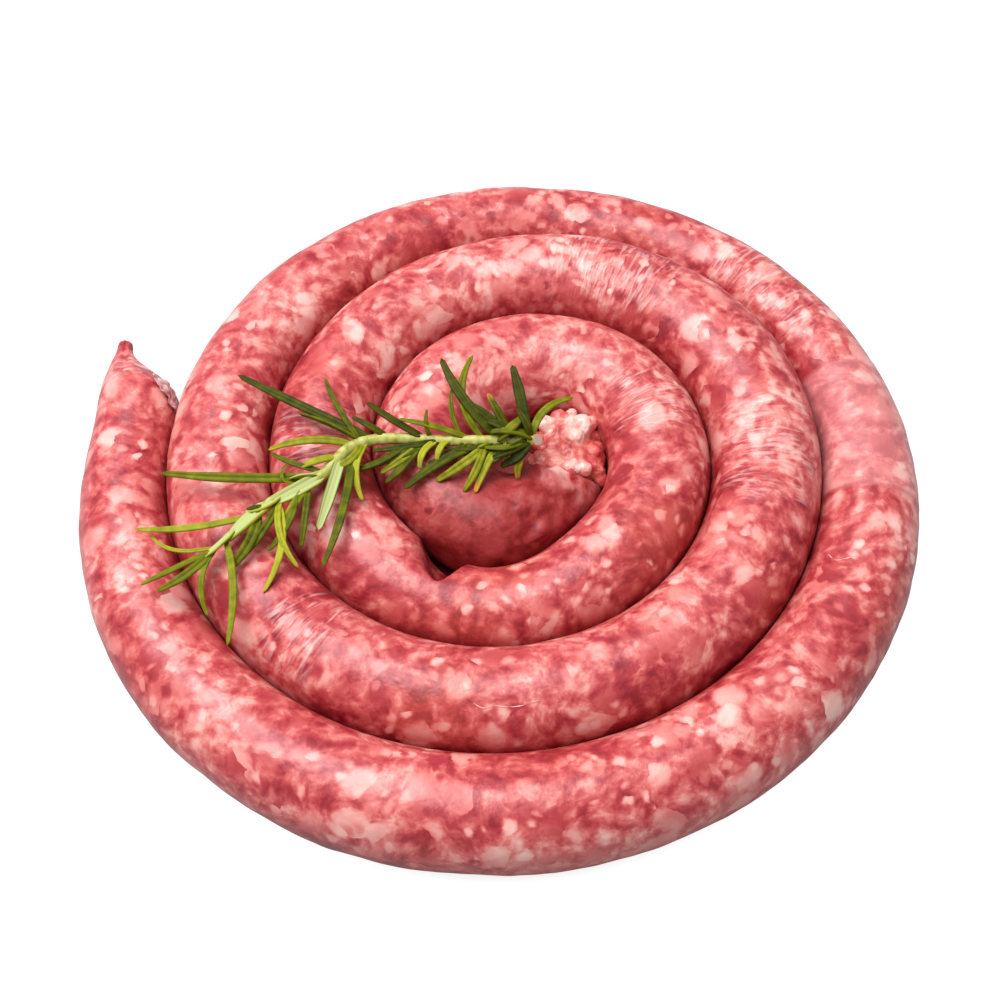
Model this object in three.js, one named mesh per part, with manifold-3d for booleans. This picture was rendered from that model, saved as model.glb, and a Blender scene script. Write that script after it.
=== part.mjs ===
// Raw coarse sausage, filled in one length and wound flat into a spiral, with a sprig of rosemary
// lying across it. Millimetres, +Z up, the coil lying on z = 0.
//
// Angles are degrees wound, seen from above and counted on past 360 from the outer end inwards.
// The winding is described by its edge, which is how far the coil reaches from its middle at an
// angle. One turn further on, the same edge is the inside of the turn before, so neighbouring
// turns lie against each other all the way.

import * as THREE from 'three';
import { mergeVertices } from 'three/addons/utils/BufferGeometryUtils.js';
import Module from 'manifold-3d';

const wasm = await Module();
wasm.setup();

// The winding
const WOUND_FROM = 180;
const WOUND_TO = 1410;
const EDGE_REACH = 148.5;
const TURN_PITCH = 30.4;
const OFF_CENTRE_X = -2.2;
const OFF_CENTRE_Y = 3.4;
const OUT_OF_ROUND = 0.95;
const WANDERS = [
  { at: 150, over: 60, by: -7.9 },
  { at: 435, over: 80, by: -2.6 },
  { at: 765, over: 60, by: 3.2 },
  { at: 1335, over: 30, by: 4.0 },
];
const TURN_GAP = 0.36;

// The last turn slims towards its cut. Nothing holds it in at the middle of the coil, so its inner
// side swells there, but stays clear of the very middle.
const CUT_HALF = 12.6;
const SLIMS_PER_DEGREE = 0.02;
const CLEAR_OF_MIDDLE = 1;
const SWOLLEN = [
  { at: 1185, over: 38, by: 4.5 },
  { at: 1355, over: 55, by: 5.5 },
];

// The fold in the upper wall of the third turn, where it is bent sharply round the last one
const FOLD = { at: 960, over: 13, depth: 7.5, from: -0.5, full: 0.3 };

// The outer end runs straight on, then tapers to a twisted nub that hangs a little low
const TIP_LENGTH = 48.8;
const TIP_STRAIGHT = 22.4;
const TIP_TAPERED = 48;
const TIP_NUB_HALF = 2.3;
const TIP_NUB_HIGH = 10;
const TIP_LEAN = 1.4;
const TIP_STEPS = [8, 16, 23, 27.5, 31.5, 35.5, 39.5, 43.5, 46.5, TIP_LENGTH];

// The inner end runs straight to its slanting cut
const CUT_STEPS = [
  { along: 3.8, half: 12.2, inwards: 0.4 },
  { along: 7.5, half: 11.8, inwards: 0.9 },
];

// Casing and mince
const CASING_WALL = 0.8;
const FILLING_GAP = 0.35;
const FILLING_TO = 43;
const CAVITY_TO = 43.5;
const CASING_SIDES = 16;
const FILLING_SIDES = 10;
const FINE_STEP = 7.5;
const COARSE_STEP = 15;
const FINE_UNTIL = 900;

// The mince that stands out of the cut: the core, then the lumps on it
const MINCE_CORE = [
  { x: 12.9, y: 5.4, half: 10.3, high: 12.0, faces: -17 },
  { x: 12.2, y: 10.4, half: 8.6, high: 12.6, faces: 0 },
  { x: 11.6, y: 14.2, half: 6.0, high: 13.0, faces: 8 },
];
const MINCE_LUMPS = [
  { x: 6.6, y: 9.6, z: 20.4, r: 3.6 },
  { x: 15.6, y: 7.0, z: 21.4, r: 4.9 },
  { x: 10.6, y: 11.6, z: 21.4, r: 3.7 },
  { x: 13.0, y: 14.6, z: 17.6, r: 3.6 },
  { x: 16.8, y: 10.4, z: 17.6, r: 3.6 },
  { x: 18.8, y: 4.4, z: 17.4, r: 3.6 },
  { x: 7.6, y: 14.0, z: 15.2, r: 4.2 },
  { x: 10.4, y: 7.0, z: 22.4, r: 3.2 },
  { x: 4.4, y: 11.0, z: 12.6, r: 3.4 },
  { x: 15.8, y: 11.8, z: 9.4, r: 3.6 },
  { x: 10.2, y: 15.6, z: 8.8, r: 3.6 },
];
const LUMP_TURN = 1.1;

// Rosemary: the stem's way over the crests of the turns, from its cut end to its tip
const STEM_WAY = [
  [4, -4, 32.6],
  [-11, -4.4, 32.6],
  [-26, -3.8, 32.2],
  [-40, -4, 33],
  [-49, -7.4, 33.4],
  [-57, -17.6, 33.2],
  [-67, -23.4, 33.4],
  [-76, -31.8, 33.6],
  [-84, -41, 33],
  [-88, -44.6, 32.4],
];
const STEM_STEPS = 16;
const STEM_SIDES = 6;
const STEM_BASE_HALF = 1.8;
const STEM_TIP_HALF = 0.7;

// Each leaf: millimetres along the stem, direction in degrees, reach in plan, height of its end
const LEAVES = [
  { from: 2, way: 48, reach: 18, end: 35 },
  { from: 3, way: 102, reach: 21, end: 41 },
  { from: 3, way: -107, reach: 12, end: 27 },
  { from: 5, way: -119, reach: 11, end: 28 },
  { from: 7, way: 113, reach: 17, end: 38 },
  { from: 9, way: 129, reach: 30, end: 41 },
  { from: 10, way: 109, reach: 26, end: 40 },
  { from: 10, way: -113, reach: 18, end: 29 },
  { from: 14, way: -146, reach: 27, end: 29 },
  { from: 16, way: -105, reach: 17, end: 29 },
  { from: 21, way: 100, reach: 16, end: 38 },
  { from: 24, way: -124, reach: 9, end: 30 },
  { from: 28, way: -117, reach: 11, end: 31 },
  { from: 30, way: 96, reach: 9, end: 38 },
  { from: 31, way: 143, reach: 22, end: 36 },
  { from: 33, way: -122, reach: 17, end: 30 },
  { from: 46, way: 148, reach: 46, end: 36 },
  { from: 48, way: -93, reach: 18, end: 31 },
  { from: 50, way: 178, reach: 26, end: 33 },
  { from: 50, way: 155, reach: 20, end: 36 },
  { from: 50, way: 120, reach: 23, end: 38 },
  { from: 54, way: -98, reach: 37, end: 31 },
  { from: 57, way: -103, reach: 24, end: 33 },
  { from: 62, way: 161, reach: 18, end: 33 },
  { from: 66, way: 175, reach: 45, end: 34 },
  { from: 70, way: -89, reach: 19, end: 31 },
  { from: 78, way: -67, reach: 24, end: 31 },
  { from: 80, way: -92, reach: 28, end: 31 },
  { from: 89, way: -177, reach: 31, end: 33 },
  { from: 99, way: -81, reach: 30, end: 31 },
  { from: 100, way: 162, reach: 21, end: 31 },
  { from: 101, way: -89, reach: 20, end: 29 },
  { from: 102, way: -141, reach: 18, end: 32 },
  { from: 104, way: -156, reach: 18, end: 31 },
];
const LEAF_HALF_WIDTH = 1.3;
const LEAF_HALF_THICK = 0.55;
const LEAF_STEPS = [0, 0.22, 0.5, 0.8];
const LEAF_WIDTHS = [0.55, 0.9, 1, 0.7];
const LEAF_SWEEP = 0.35;
const LEAF_CLEAR = 0.95;

const UP = new THREE.Vector3(0, 0, 1);

function radians(degrees) {
  return THREE.MathUtils.degToRad(degrees);
}

function edge(angle) {
  const wound = radians(angle);
  let reach = EDGE_REACH - (TURN_PITCH * angle) / 360;
  reach += OFF_CENTRE_X * Math.cos(wound) + OFF_CENTRE_Y * Math.sin(wound);
  reach += OUT_OF_ROUND * Math.sin(2 * wound);
  for (const wander of WANDERS) {
    reach += wander.by * Math.exp(-(((angle - wander.at) / wander.over) ** 2));
  }
  return reach;
}

// A section of the sausage: its middle, the way it faces, and its half sizes on either side
function woundSection(angle) {
  const outside = edge(angle) - TURN_GAP / 2;
  const inside = edge(angle + 360) + TURN_GAP / 2;
  const slimmest = CUT_HALF + SLIMS_PER_DEGREE * (WOUND_TO - angle);
  const half = Math.min((outside - inside) / 2, slimmest);
  const radius = outside - half;
  let swollen = 0;
  for (const { at, over, by } of SWOLLEN) {
    swollen += by * Math.exp(-(((angle - at) / over) ** 2));
  }
  const faces = new THREE.Vector3(Math.cos(radians(angle)), Math.sin(radians(angle)), 0);
  return {
    middle: faces.clone().multiplyScalar(radius).setZ(half),
    faces,
    outer: half,
    inner: Math.min(half + swollen, radius - CLEAR_OF_MIDDLE),
    high: half,
    folded: FOLD.depth * Math.max(0, 1 - Math.abs(angle - FOLD.at) / FOLD.over),
  };
}

function tipSection(along) {
  const start = woundSection(WOUND_FROM);
  const share = THREE.MathUtils.smoothstep(along, TIP_STRAIGHT, TIP_TAPERED);
  const half = THREE.MathUtils.lerp(start.outer, TIP_NUB_HALF, share);
  const shift = start.outer - half - TIP_LEAN * share;
  const backwards = new THREE.Vector3().crossVectors(start.faces, UP);
  const middle = start.middle.clone().addScaledVector(backwards, along);
  middle.addScaledVector(start.faces, shift).setZ(THREE.MathUtils.lerp(start.outer, TIP_NUB_HIGH, share));
  return { middle, faces: start.faces, outer: half, inner: half, high: half };
}

function cutSection({ along, half, inwards }) {
  const start = woundSection(WOUND_TO);
  const onwards = new THREE.Vector3().crossVectors(UP, start.faces);
  const middle = start.middle.clone().addScaledVector(onwards, along);
  middle.addScaledVector(start.faces, -inwards).setZ(half);
  return { middle, faces: start.faces, outer: half, inner: half, high: half };
}

function minceSection({ x, y, half, high, faces }) {
  const way = new THREE.Vector3(Math.cos(radians(faces)), Math.sin(radians(faces)), 0);
  return { middle: new THREE.Vector3(x, y, high), faces: way, outer: half, inner: half, high: half };
}

function sections(tipTo) {
  const tip = TIP_STEPS.filter((along) => along < tipTo).concat(tipTo).reverse();
  const all = tip.map(tipSection);
  let angle = WOUND_FROM;
  while (angle <= WOUND_TO) {
    all.push(woundSection(angle));
    angle += angle < FINE_UNTIL ? FINE_STEP : COARSE_STEP;
  }
  return all.concat(CUT_STEPS.map(cutSection));
}

// A ring of points round a section: flats touch its true size, corners lie on it if inscribed
function ring(section, sides, shrink, inscribed) {
  const reach = inscribed ? 1 : 1 / Math.cos(Math.PI / sides);
  const points = [];
  for (let k = 0; k < sides; k++) {
    const turn = ((k + 0.5) * 2 * Math.PI) / sides;
    const across = Math.cos(turn) * reach;
    const upper = THREE.MathUtils.smoothstep(Math.sin(turn), FOLD.from, FOLD.full);
    const wide = (across > 0 ? section.outer : section.inner - (section.folded ?? 0) * upper) - shrink;
    const point = section.middle.clone().addScaledVector(section.faces, across * wide);
    point.z += Math.sin(turn) * reach * (section.high - shrink);
    points.push(point);
  }
  return points;
}

function middleOf(points) {
  return points.reduce((sum, point) => sum.add(point), new THREE.Vector3()).divideScalar(points.length);
}

// A closed skin over rings of points, each end brought together in a point
function skin(rings, startPoint = middleOf(rings[0]), endPoint = middleOf(rings.at(-1))) {
  const sides = rings[0].length;
  const points = rings.flat().concat(startPoint, endPoint);
  const start = points.length - 2;
  const end = points.length - 1;
  const last = (rings.length - 1) * sides;
  const faces = [];
  for (let k = 0; k < sides; k++) {
    const next = (k + 1) % sides;
    faces.push(start, k, next);
    faces.push(end, last + next, last + k);
    for (let i = 0; i < last; i += sides) {
      faces.push(i + k, i + sides + k, i + sides + next);
      faces.push(i + k, i + sides + next, i + next);
    }
  }
  const geometry = new THREE.BufferGeometry().setFromPoints(points);
  geometry.setIndex(faces);
  return geometry;
}

function solidOf(geometry) {
  const bare = geometry.clone();
  bare.deleteAttribute('normal');
  bare.deleteAttribute('uv');
  const merged = mergeVertices(bare, 1e-4);
  return new wasm.Manifold(
    new wasm.Mesh({
      numProp: 3,
      vertProperties: new Float32Array(merged.attributes.position.array),
      triVerts: new Uint32Array(merged.index.array),
    }),
  );
}

function geometryOf(solid) {
  const { vertProperties, triVerts } = solid.getMesh();
  const geometry = new THREE.BufferGeometry();
  geometry.setAttribute('position', new THREE.BufferAttribute(vertProperties, 3));
  geometry.setIndex(new THREE.BufferAttribute(triVerts, 1));
  geometry.computeVertexNormals();
  return geometry;
}

// The casing: the skin of the whole length, closed at the nub and open at the cut
function casing() {
  const outside = skin(sections(TIP_LENGTH).map((section) => ring(section, CASING_SIDES, 0, false)));
  const inside = sections(CAVITY_TO).concat(minceSection(MINCE_CORE[0]));
  const hollow = skin(inside.map((section) => ring(section, FILLING_SIDES, CASING_WALL, true)));
  return geometryOf(solidOf(outside).subtract(solidOf(hollow)));
}

// The mince: fills the casing from end to end and stands out of the cut in lumps
function filling() {
  const shrink = CASING_WALL + FILLING_GAP;
  const inside = sections(FILLING_TO).map((section) => ring(section, FILLING_SIDES, shrink, true));
  const outside = MINCE_CORE.map((core) => ring(minceSection(core), FILLING_SIDES, 0, true));
  let solid = solidOf(skin(inside.concat(outside)));
  MINCE_LUMPS.forEach(({ x, y, z, r }, index) => {
    const lump = new THREE.IcosahedronGeometry(r, 1);
    lump.rotateX(LUMP_TURN * index).translate(x, y, z);
    solid = solid.add(solidOf(lump));
  });
  return geometryOf(solid);
}

// How high the sausage stands at a place in plan
function groundAt(x, y) {
  const radius = Math.hypot(x, y);
  const angle = (THREE.MathUtils.radToDeg(Math.atan2(y, x)) + 360) % 360;
  let height = 0;
  for (let wound = angle; wound <= WOUND_TO; wound += 360) {
    if (wound >= WOUND_FROM) {
      const { middle, outer } = woundSection(wound);
      const off = (radius - Math.hypot(middle.x, middle.y)) / outer;
      if (Math.abs(off) < 1) height = Math.max(height, outer * (1 + Math.sqrt(1 - off * off)));
    }
  }
  return height;
}

const stemCurve = new THREE.CatmullRomCurve3(STEM_WAY.map((point) => new THREE.Vector3(...point)));

// A flat ring across a way, pointing up as far as the way allows
function crossRing(at, way, halfWidth, halfThick, sides) {
  const across = new THREE.Vector3().crossVectors(way, UP).normalize();
  const upwards = new THREE.Vector3().crossVectors(across, way).normalize();
  const points = [];
  for (let k = 0; k < sides; k++) {
    const turn = (k * 2 * Math.PI) / sides;
    const point = at.clone().addScaledVector(across, Math.cos(turn) * halfWidth);
    points.push(point.addScaledVector(upwards, Math.sin(turn) * halfThick));
  }
  return points;
}

function stem() {
  const rings = [];
  for (let i = 0; i <= STEM_STEPS; i++) {
    const share = i / STEM_STEPS;
    const half = THREE.MathUtils.lerp(STEM_BASE_HALF, STEM_TIP_HALF, share);
    const way = stemCurve.getTangentAt(share);
    rings.push(crossRing(stemCurve.getPointAt(share), way, half, half, STEM_SIDES));
  }
  return skin(rings);
}

// A needle: leaves the stem forwards, bows out to its direction, and stays clear of the sausage
function leaf({ from, way, reach, end }) {
  const share = Math.min(1, from / stemCurve.getLength());
  const root = stemCurve.getPointAt(share);
  const tip = new THREE.Vector3(Math.cos(radians(way)), Math.sin(radians(way)), 0);
  tip.multiplyScalar(reach).add(root).setZ(end);
  const bow = root.clone().lerp(tip, 0.4);
  bow.addScaledVector(stemCurve.getTangentAt(share), LEAF_SWEEP * reach * 0.4);
  bow.z = Math.max(root.z, end);
  const curve = new THREE.QuadraticBezierCurve3(root, bow, tip);
  const lifted = (t) => {
    const point = curve.getPoint(t);
    const ahead = curve.getTangent(t).setZ(0).normalize();
    const across = new THREE.Vector3().crossVectors(ahead, UP).multiplyScalar(LEAF_HALF_WIDTH);
    for (const side of [-1, 0, 1]) {
      const ground = groundAt(point.x + side * across.x, point.y + side * across.y);
      point.z = Math.max(point.z, ground + LEAF_CLEAR);
    }
    return point;
  };
  const points = LEAF_STEPS.map(lifted).concat(lifted(1));
  const rings = LEAF_STEPS.map((t, i) => {
    const ahead = points[i + 1].clone().sub(points[Math.max(0, i - 1)]).normalize();
    const wide = LEAF_WIDTHS[i];
    return crossRing(points[i], ahead, LEAF_HALF_WIDTH * wide, LEAF_HALF_THICK * wide, 4);
  });
  return skin(rings, middleOf(rings[0]), points.at(-1));
}

function sprig() {
  const solids = LEAVES.map((row) => solidOf(leaf(row)));
  return geometryOf(solids.reduce((all, next) => all.add(next), solidOf(stem())));
}

function node(name, geometry, colour, roughness) {
  const material = new THREE.MeshStandardMaterial({ color: colour, roughness, metalness: 0 });
  const mesh = new THREE.Mesh(geometry, material);
  mesh.name = name;
  return mesh;
}

const coil = new THREE.Group();
coil.add(node('casing', casing(), 0xd9807c, 0.35));
coil.add(node('filling', filling(), 0xd98f86, 0.55));
coil.add(node('rosemary_sprig', sprig(), 0x6f7d2c, 0.6));

// The origin is on the surface that the coil lies on, under the middle of its box
const centre = new THREE.Box3().setFromObject(coil).getCenter(new THREE.Vector3());
coil.position.set(-centre.x, -centre.y, 0);

export default coil;
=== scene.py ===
# %% [markdown]
# # A coiled raw sausage with a sprig of rosemary
#
# One long fresh sausage is wound flat into a spiral. Its casing is thin and wet, so the lean and the
# fat of the mince show through it. The outer end is pinched to a nub, the inner end is cut open, and
# a sprig of rosemary lies across the turns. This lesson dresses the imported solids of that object.
# Lengths are written in millimetres and turned into Blender's metres where a mesh is made.

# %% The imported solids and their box
import math
import random

import bpy
import numpy as np
from mathutils import Matrix, Vector, noise
from mathutils.bvhtree import BVHTree


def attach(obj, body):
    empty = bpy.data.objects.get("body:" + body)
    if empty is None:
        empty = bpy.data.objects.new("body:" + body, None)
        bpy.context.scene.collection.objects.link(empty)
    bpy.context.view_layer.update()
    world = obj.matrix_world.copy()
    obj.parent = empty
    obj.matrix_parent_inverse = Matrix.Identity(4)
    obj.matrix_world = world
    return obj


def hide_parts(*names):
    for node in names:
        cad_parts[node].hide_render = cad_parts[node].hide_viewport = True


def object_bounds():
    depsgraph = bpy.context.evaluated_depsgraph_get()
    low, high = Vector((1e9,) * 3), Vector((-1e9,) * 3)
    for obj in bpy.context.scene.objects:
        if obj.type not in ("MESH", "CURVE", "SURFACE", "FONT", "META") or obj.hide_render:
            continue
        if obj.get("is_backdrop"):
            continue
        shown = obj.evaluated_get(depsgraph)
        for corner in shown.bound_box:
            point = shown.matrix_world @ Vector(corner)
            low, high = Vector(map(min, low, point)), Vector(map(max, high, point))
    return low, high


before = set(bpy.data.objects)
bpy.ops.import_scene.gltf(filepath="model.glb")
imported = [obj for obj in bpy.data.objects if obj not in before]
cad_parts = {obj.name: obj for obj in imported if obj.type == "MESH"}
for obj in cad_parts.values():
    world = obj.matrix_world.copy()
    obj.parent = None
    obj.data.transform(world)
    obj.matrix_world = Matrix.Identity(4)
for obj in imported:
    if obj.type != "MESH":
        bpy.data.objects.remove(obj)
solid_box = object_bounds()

MM = 0.001
print("packed nodes:", sorted(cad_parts))

# %% [markdown]
# ## Camera
#
# The photo looks down at about 57 degrees. The camera was fitted to the seams between the turns, which
# gave its lens and its distance. Places that were read off the photo as pixels are turned into places
# on the object by sending a ray from this camera to the height where the thing lies.

# %% Camera
WINDING_MIDDLE = np.array([7.2635, 5.3966, 0.0])
CAMERA_AIM = np.array([-6.8, -12.8, 15.0]) + WINDING_MIDDLE
CAMERA_RISE = math.radians(56.7)
CAMERA_AWAY = 400.0
NEAREST_SEEN = 10.0
LENS = 49.7
SENSOR = 36.0
PHOTO_SIDE = 1000

back = np.array([0.0, -math.cos(CAMERA_RISE), math.sin(CAMERA_RISE)])
camera_place = CAMERA_AIM + back * CAMERA_AWAY
bpy.ops.object.camera_add(location=camera_place * MM, rotation=(math.pi / 2 - CAMERA_RISE, 0, 0))
camera = bpy.context.object
camera.name = "camera"
camera.data.lens = LENS
camera.data.sensor_width = SENSOR
camera.data.clip_start = NEAREST_SEEN * MM
bpy.context.scene.camera = camera


def seen(pixel, height):
    """The place at a height, in millimetres, that the camera sees at a pixel of the photo."""
    across = (pixel[0] / PHOTO_SIDE - 0.5) * SENSOR / LENS
    up = (0.5 - pixel[1] / PHOTO_SIDE) * SENSOR / LENS
    ray = np.array([across, up * math.sin(CAMERA_RISE), up * math.cos(CAMERA_RISE)]) - back
    return camera_place + ray * (height - camera_place[2]) / ray[2]


print("camera at", np.round(camera_place, 1), "mm")

# %% [markdown]
# ## Light
#
# The photo is a bright product shot: a white room, one large soft light overhead that draws a broad
# milky glare along the top of each turn, and hardly any shadow. A white world gives the even part,
# and a square area light, nearly as wide as it is far away, gives the glare.

# %% Room and softbox
ROOM_LIGHT = 0.38
SOFTBOX_WAY = Vector((-0.32, 0.16, 0.95))
SOFTBOX_AWAY = 1100.0
SOFTBOX_SIDE = 850.0
SOFTBOX_WATTS = 18.5
SOFTBOX_COLOUR = (0.97, 0.98, 1.0)

bpy.context.scene.view_settings.view_transform = "Standard"
world = bpy.data.worlds.new("white_room")
bpy.context.scene.world = world
world.use_nodes = True
background = world.node_tree.nodes["Background"]
background.inputs["Color"].default_value = (1.0, 1.0, 1.0, 1.0)
background.inputs["Strength"].default_value = ROOM_LIGHT

softbox_place = SOFTBOX_WAY.normalized() * SOFTBOX_AWAY * MM
softbox_turn = softbox_place.to_track_quat("Z", "Y").to_euler()
bpy.ops.object.light_add(type="AREA", location=softbox_place, rotation=softbox_turn)
softbox = bpy.context.object
softbox.name = "softbox"
softbox.data.shape = "SQUARE"
softbox.data.size = SOFTBOX_SIDE * MM
softbox.data.energy = SOFTBOX_WATTS
softbox.data.color = SOFTBOX_COLOUR
print("softbox at", [round(c, 2) for c in softbox_place], "m")

# %% [markdown]
# ## Writing a finish as sums
#
# A procedural finish is mostly arithmetic: this noise times that mask. Wired by hand, the Math nodes
# hide what is meant. A small class that stands for a socket and overloads the operators lets the same
# thing be written as a Python expression, and each expression adds its Math nodes.

# %% Sockets with arithmetic
class Wire:
    """A socket of a finish. Arithmetic on wires adds Math nodes to the same tree."""

    def __init__(self, finish, socket):
        self.finish = finish
        self.socket = socket

    def math(self, operation, first, second):
        values = {"0": first, "1": second}
        return self.finish.node("Math", {"operation": operation}, values)[0]

    def __add__(self, other):
        return self.math("ADD", self, other)

    def __sub__(self, other):
        return self.math("SUBTRACT", self, other)

    def __rsub__(self, other):
        return self.math("SUBTRACT", other, self)

    def __mul__(self, other):
        return self.math("MULTIPLY", self, other)

    def __pow__(self, other):
        return self.math("POWER", self, other)

    def __rpow__(self, other):
        return self.math("POWER", other, self)

    __radd__ = __add__
    __rmul__ = __mul__


# %% [markdown]
# The other nodes come from one method that takes the node's type, its settings and the values of its
# sockets. The rest of the class gives short names to the nodes that these finishes use again and
# again: noise, a soft step, a ramp of colours, a mix, relief.

# %% A finish and its nodes
class Finish:
    """A material with one Principled shader, and the ways to add nodes to it."""

    def __init__(self, name):
        self.material = bpy.data.materials.new(name)
        self.material.use_nodes = True
        self.tree = self.material.node_tree
        self.shader = self.tree.nodes["Principled BSDF"]

    def node(self, kind, settings=None, values=None):
        """Adds a node of a kind. Its settings come first, then its sockets by name, or by number."""
        added = self.tree.nodes.new("ShaderNode" + kind)
        for key, value in (settings or {}).items():
            if key == "stops":
                self.lay_stops(added.color_ramp, value)
            else:
                setattr(added, key, value)
        for key, value in (values or {}).items():
            sockets = [s for s in added.inputs if s.enabled and s.name == key]
            self.feed(sockets[0] if sockets else added.inputs[int(key)], value)
        return [Wire(self, socket) for socket in added.outputs if socket.enabled]

    def lay_stops(self, ramp, stops):
        while len(ramp.elements) < len(stops):
            ramp.elements.new(1.0)
        for element, (place, colour) in zip(ramp.elements, stops):
            element.position = place
            element.color = colour

    def feed(self, socket, value):
        if isinstance(value, Wire):
            self.tree.links.new(value.socket, socket)
        else:
            socket.default_value = value

    def set(self, **values):
        """Sets or links the Principled shader's own sockets: Base_Color stands for Base Color."""
        for key, value in values.items():
            self.feed(self.shader.inputs[key.replace("_", " ")], value)

    def attribute(self, name):
        """A value that was stored on the mesh's points."""
        _, _, value, _ = self.node("Attribute", {"attribute_name": name})
        return value

    def vector_attribute(self, name):
        """A vector that was stored on the mesh's points."""
        _, vector, _, _ = self.node("Attribute", {"attribute_name": name})
        return vector

    def place(self):
        """The place on the object in millimetres, from Texture Coordinate's Object output."""
        _, _, _, in_metres, *_ = self.node("TexCoord")
        return self.scaled(in_metres, 1 / MM)

    def off_middle(self):
        """How far a place is from the middle of the coil, in millimetres."""
        return self.node("VectorMath", {"operation": "LENGTH"}, {"0": self.place()})[0]

    def scaled(self, vector, by):
        values = {"0": vector, "1": (by, by, by)}
        return self.node("VectorMath", {"operation": "MULTIPLY"}, values)[0]

    def shifted(self, vector, by):
        return self.node("VectorMath", {"operation": "ADD"}, {"0": vector, "1": by})[0]

    def noise(self, vector, per, detail=2.0, rough=0.5):
        """Smooth noise from 0 to 1 whose blobs are about as large as per, in the vector's units."""
        values = {"Vector": vector, "Scale": 1.0 / per, "Detail": detail, "Roughness": rough}
        return self.node("TexNoise", None, values)[0]

    def drift(self, vector, per, by):
        """The vector pushed about by up to by, in swirls as large as per."""
        values = {"Vector": vector, "Scale": 1.0 / per, "Detail": 1.0}
        _, colour = self.node("TexNoise", None, values)
        centred = self.shifted(colour, (-0.5, -0.5, -0.5))
        return self.shifted(vector, self.scaled(centred, 2.0 * by))

    def step(self, value, low, high):
        """0 below low, 1 above high, and smooth in between."""
        settings = {"interpolation_type": "SMOOTHSTEP"}
        values = {"Value": value, "From Min": low, "From Max": high}
        return self.node("MapRange", settings, values)[0]

    def ramp(self, value, stops):
        """A colour for a value, from stops that each say at which value they lie."""
        return self.node("ValToRGB", {"stops": stops}, {"Fac": value})[0]

    def mix(self, factor, first, second, way="MIX"):
        settings = {"data_type": "RGBA", "blend_type": way}
        return self.node("Mix", settings, {"Factor": factor, "A": first, "B": second})[0]

    def bump(self, height, depth):
        """Relief whose height of 1 stands as high as depth, in millimetres."""
        values = {"Height": height, "Strength": 1.0, "Distance": depth * MM}
        return self.node("Bump", None, values)[0]

    def dress(self, piece):
        """Gives a piece this finish and no other."""
        piece.data.materials.clear()
        piece.data.materials.append(self.material)


def linear(red, green, blue):
    """A colour as it is read off a screen, 0 to 255, turned into the light that Blender mixes."""
    mixed = tuple(((c / 255 + 0.055) / 1.055) ** 2.4 for c in (red, green, blue))
    return (*mixed, 1.0)


print("a mid coral is", [round(c, 3) for c in linear(226, 128, 122)])

# %% [markdown]
# ## The white floor
#
# In the photo the ground is plain white right up to the meat. A floor lit as white as that would throw
# too much light up between the turns and show a grey shadow beside them. So the floor is pale grey,
# and dark red under the coil, because the light that comes up between real turns is red. A sheet of
# white light lies just over it. Only the camera sees the sheet, and it is clear under the coil. Both
# are marked as backdrop.

# %% Floor and haze
FLOOR_HALF = 3000.0
FLOOR_UNDER = 0.1
# Under the coil the floor is dark red: painted shade for the deep, red-lit gaps between the turns.
SHADE_UNDER_COIL = linear(158, 52, 54)
PALE_FLOOR = linear(190, 187, 187)
FLOOR_PALE_FROM = 80.0
FLOOR_PALE_FULL = 100.0
HAZE_FROM = 104.0
HAZE_FULL = 116.0
HAZE_SHARE = 0.7
HAZE_GLOW = 1.4


def stage_plane(name, height):
    """A wide plane of the stage, at a height in millimetres."""
    bpy.ops.mesh.primitive_plane_add(size=2 * FLOOR_HALF * MM)
    plane = bpy.context.object
    plane.name = name
    plane.data.transform(Matrix.Translation((0, 0, height * MM)))
    plane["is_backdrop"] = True
    return plane


floor = stage_plane("floor", -FLOOR_UNDER)
ground = Finish("pale_floor")
beside_coil = ground.step(ground.off_middle(), FLOOR_PALE_FROM, FLOOR_PALE_FULL)
ground.set(Base_Color=ground.mix(beside_coil, SHADE_UNDER_COIL, PALE_FLOOR), Roughness=0.7)
ground.dress(floor)

white_haze = stage_plane("white_haze", 0.0)
for kind in ("diffuse", "glossy", "transmission", "volume_scatter", "shadow"):
    setattr(white_haze, "visible_" + kind, False)
haze = Finish("white_haze")
clear = haze.node("BsdfTransparent")[0]
white = haze.node("Emission", None, {"Strength": HAZE_GLOW})[0]
hazy = haze.step(haze.off_middle(), HAZE_FROM, HAZE_FULL) * HAZE_SHARE
veil = haze.node("MixShader", None, {"Fac": hazy, "1": clear, "2": white})[0]
haze.feed(haze.tree.nodes["Material Output"].inputs["Surface"], veil)
haze.dress(white_haze)
print("stage:", floor.name, "and", white_haze.name)

# %% [markdown]
# ## The winding
#
# A coil could follow a plain spiral, but a real one isn't perfect, and its turns would then overlap or
# stand apart. It is described better by its edge: how far it reaches from its middle at an angle that
# keeps counting past 360. One turn further on, the same edge is the outside of the next turn in, so
# neighbouring turns touch all the way whatever the edge does. Four small wanders in the edge bring it
# to within a millimetre of the photo. Where there is room in the middle the inner side is swollen.

# %% The winding
WOUND_FROM = 180.0
WOUND_TO = 1410.0
EDGE_REACH = 148.5
TURN_PITCH = 30.4
OFF_CENTRE_X = -2.2
OFF_CENTRE_Y = 3.4
OUT_OF_ROUND = 0.95
WANDERS = [
    # at which angle wound, over how many degrees, by how many millimetres
    (150, 60, -7.9), (435, 80, -2.6), (765, 60, 3.2), (1335, 30, 4.0),
]
SWOLLEN = [
    # the same for the inner side alone
    (1185, 38, 4.5), (1355, 55, 5.5),
]
TURN_GAP = 0.04
CUT_HALF = 12.6
SLIMS_PER_DEGREE = 0.02
CLEAR_OF_MIDDLE = 1.0
SUNK = 0.3
UP = np.array([0.0, 0.0, 1.0])


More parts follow.
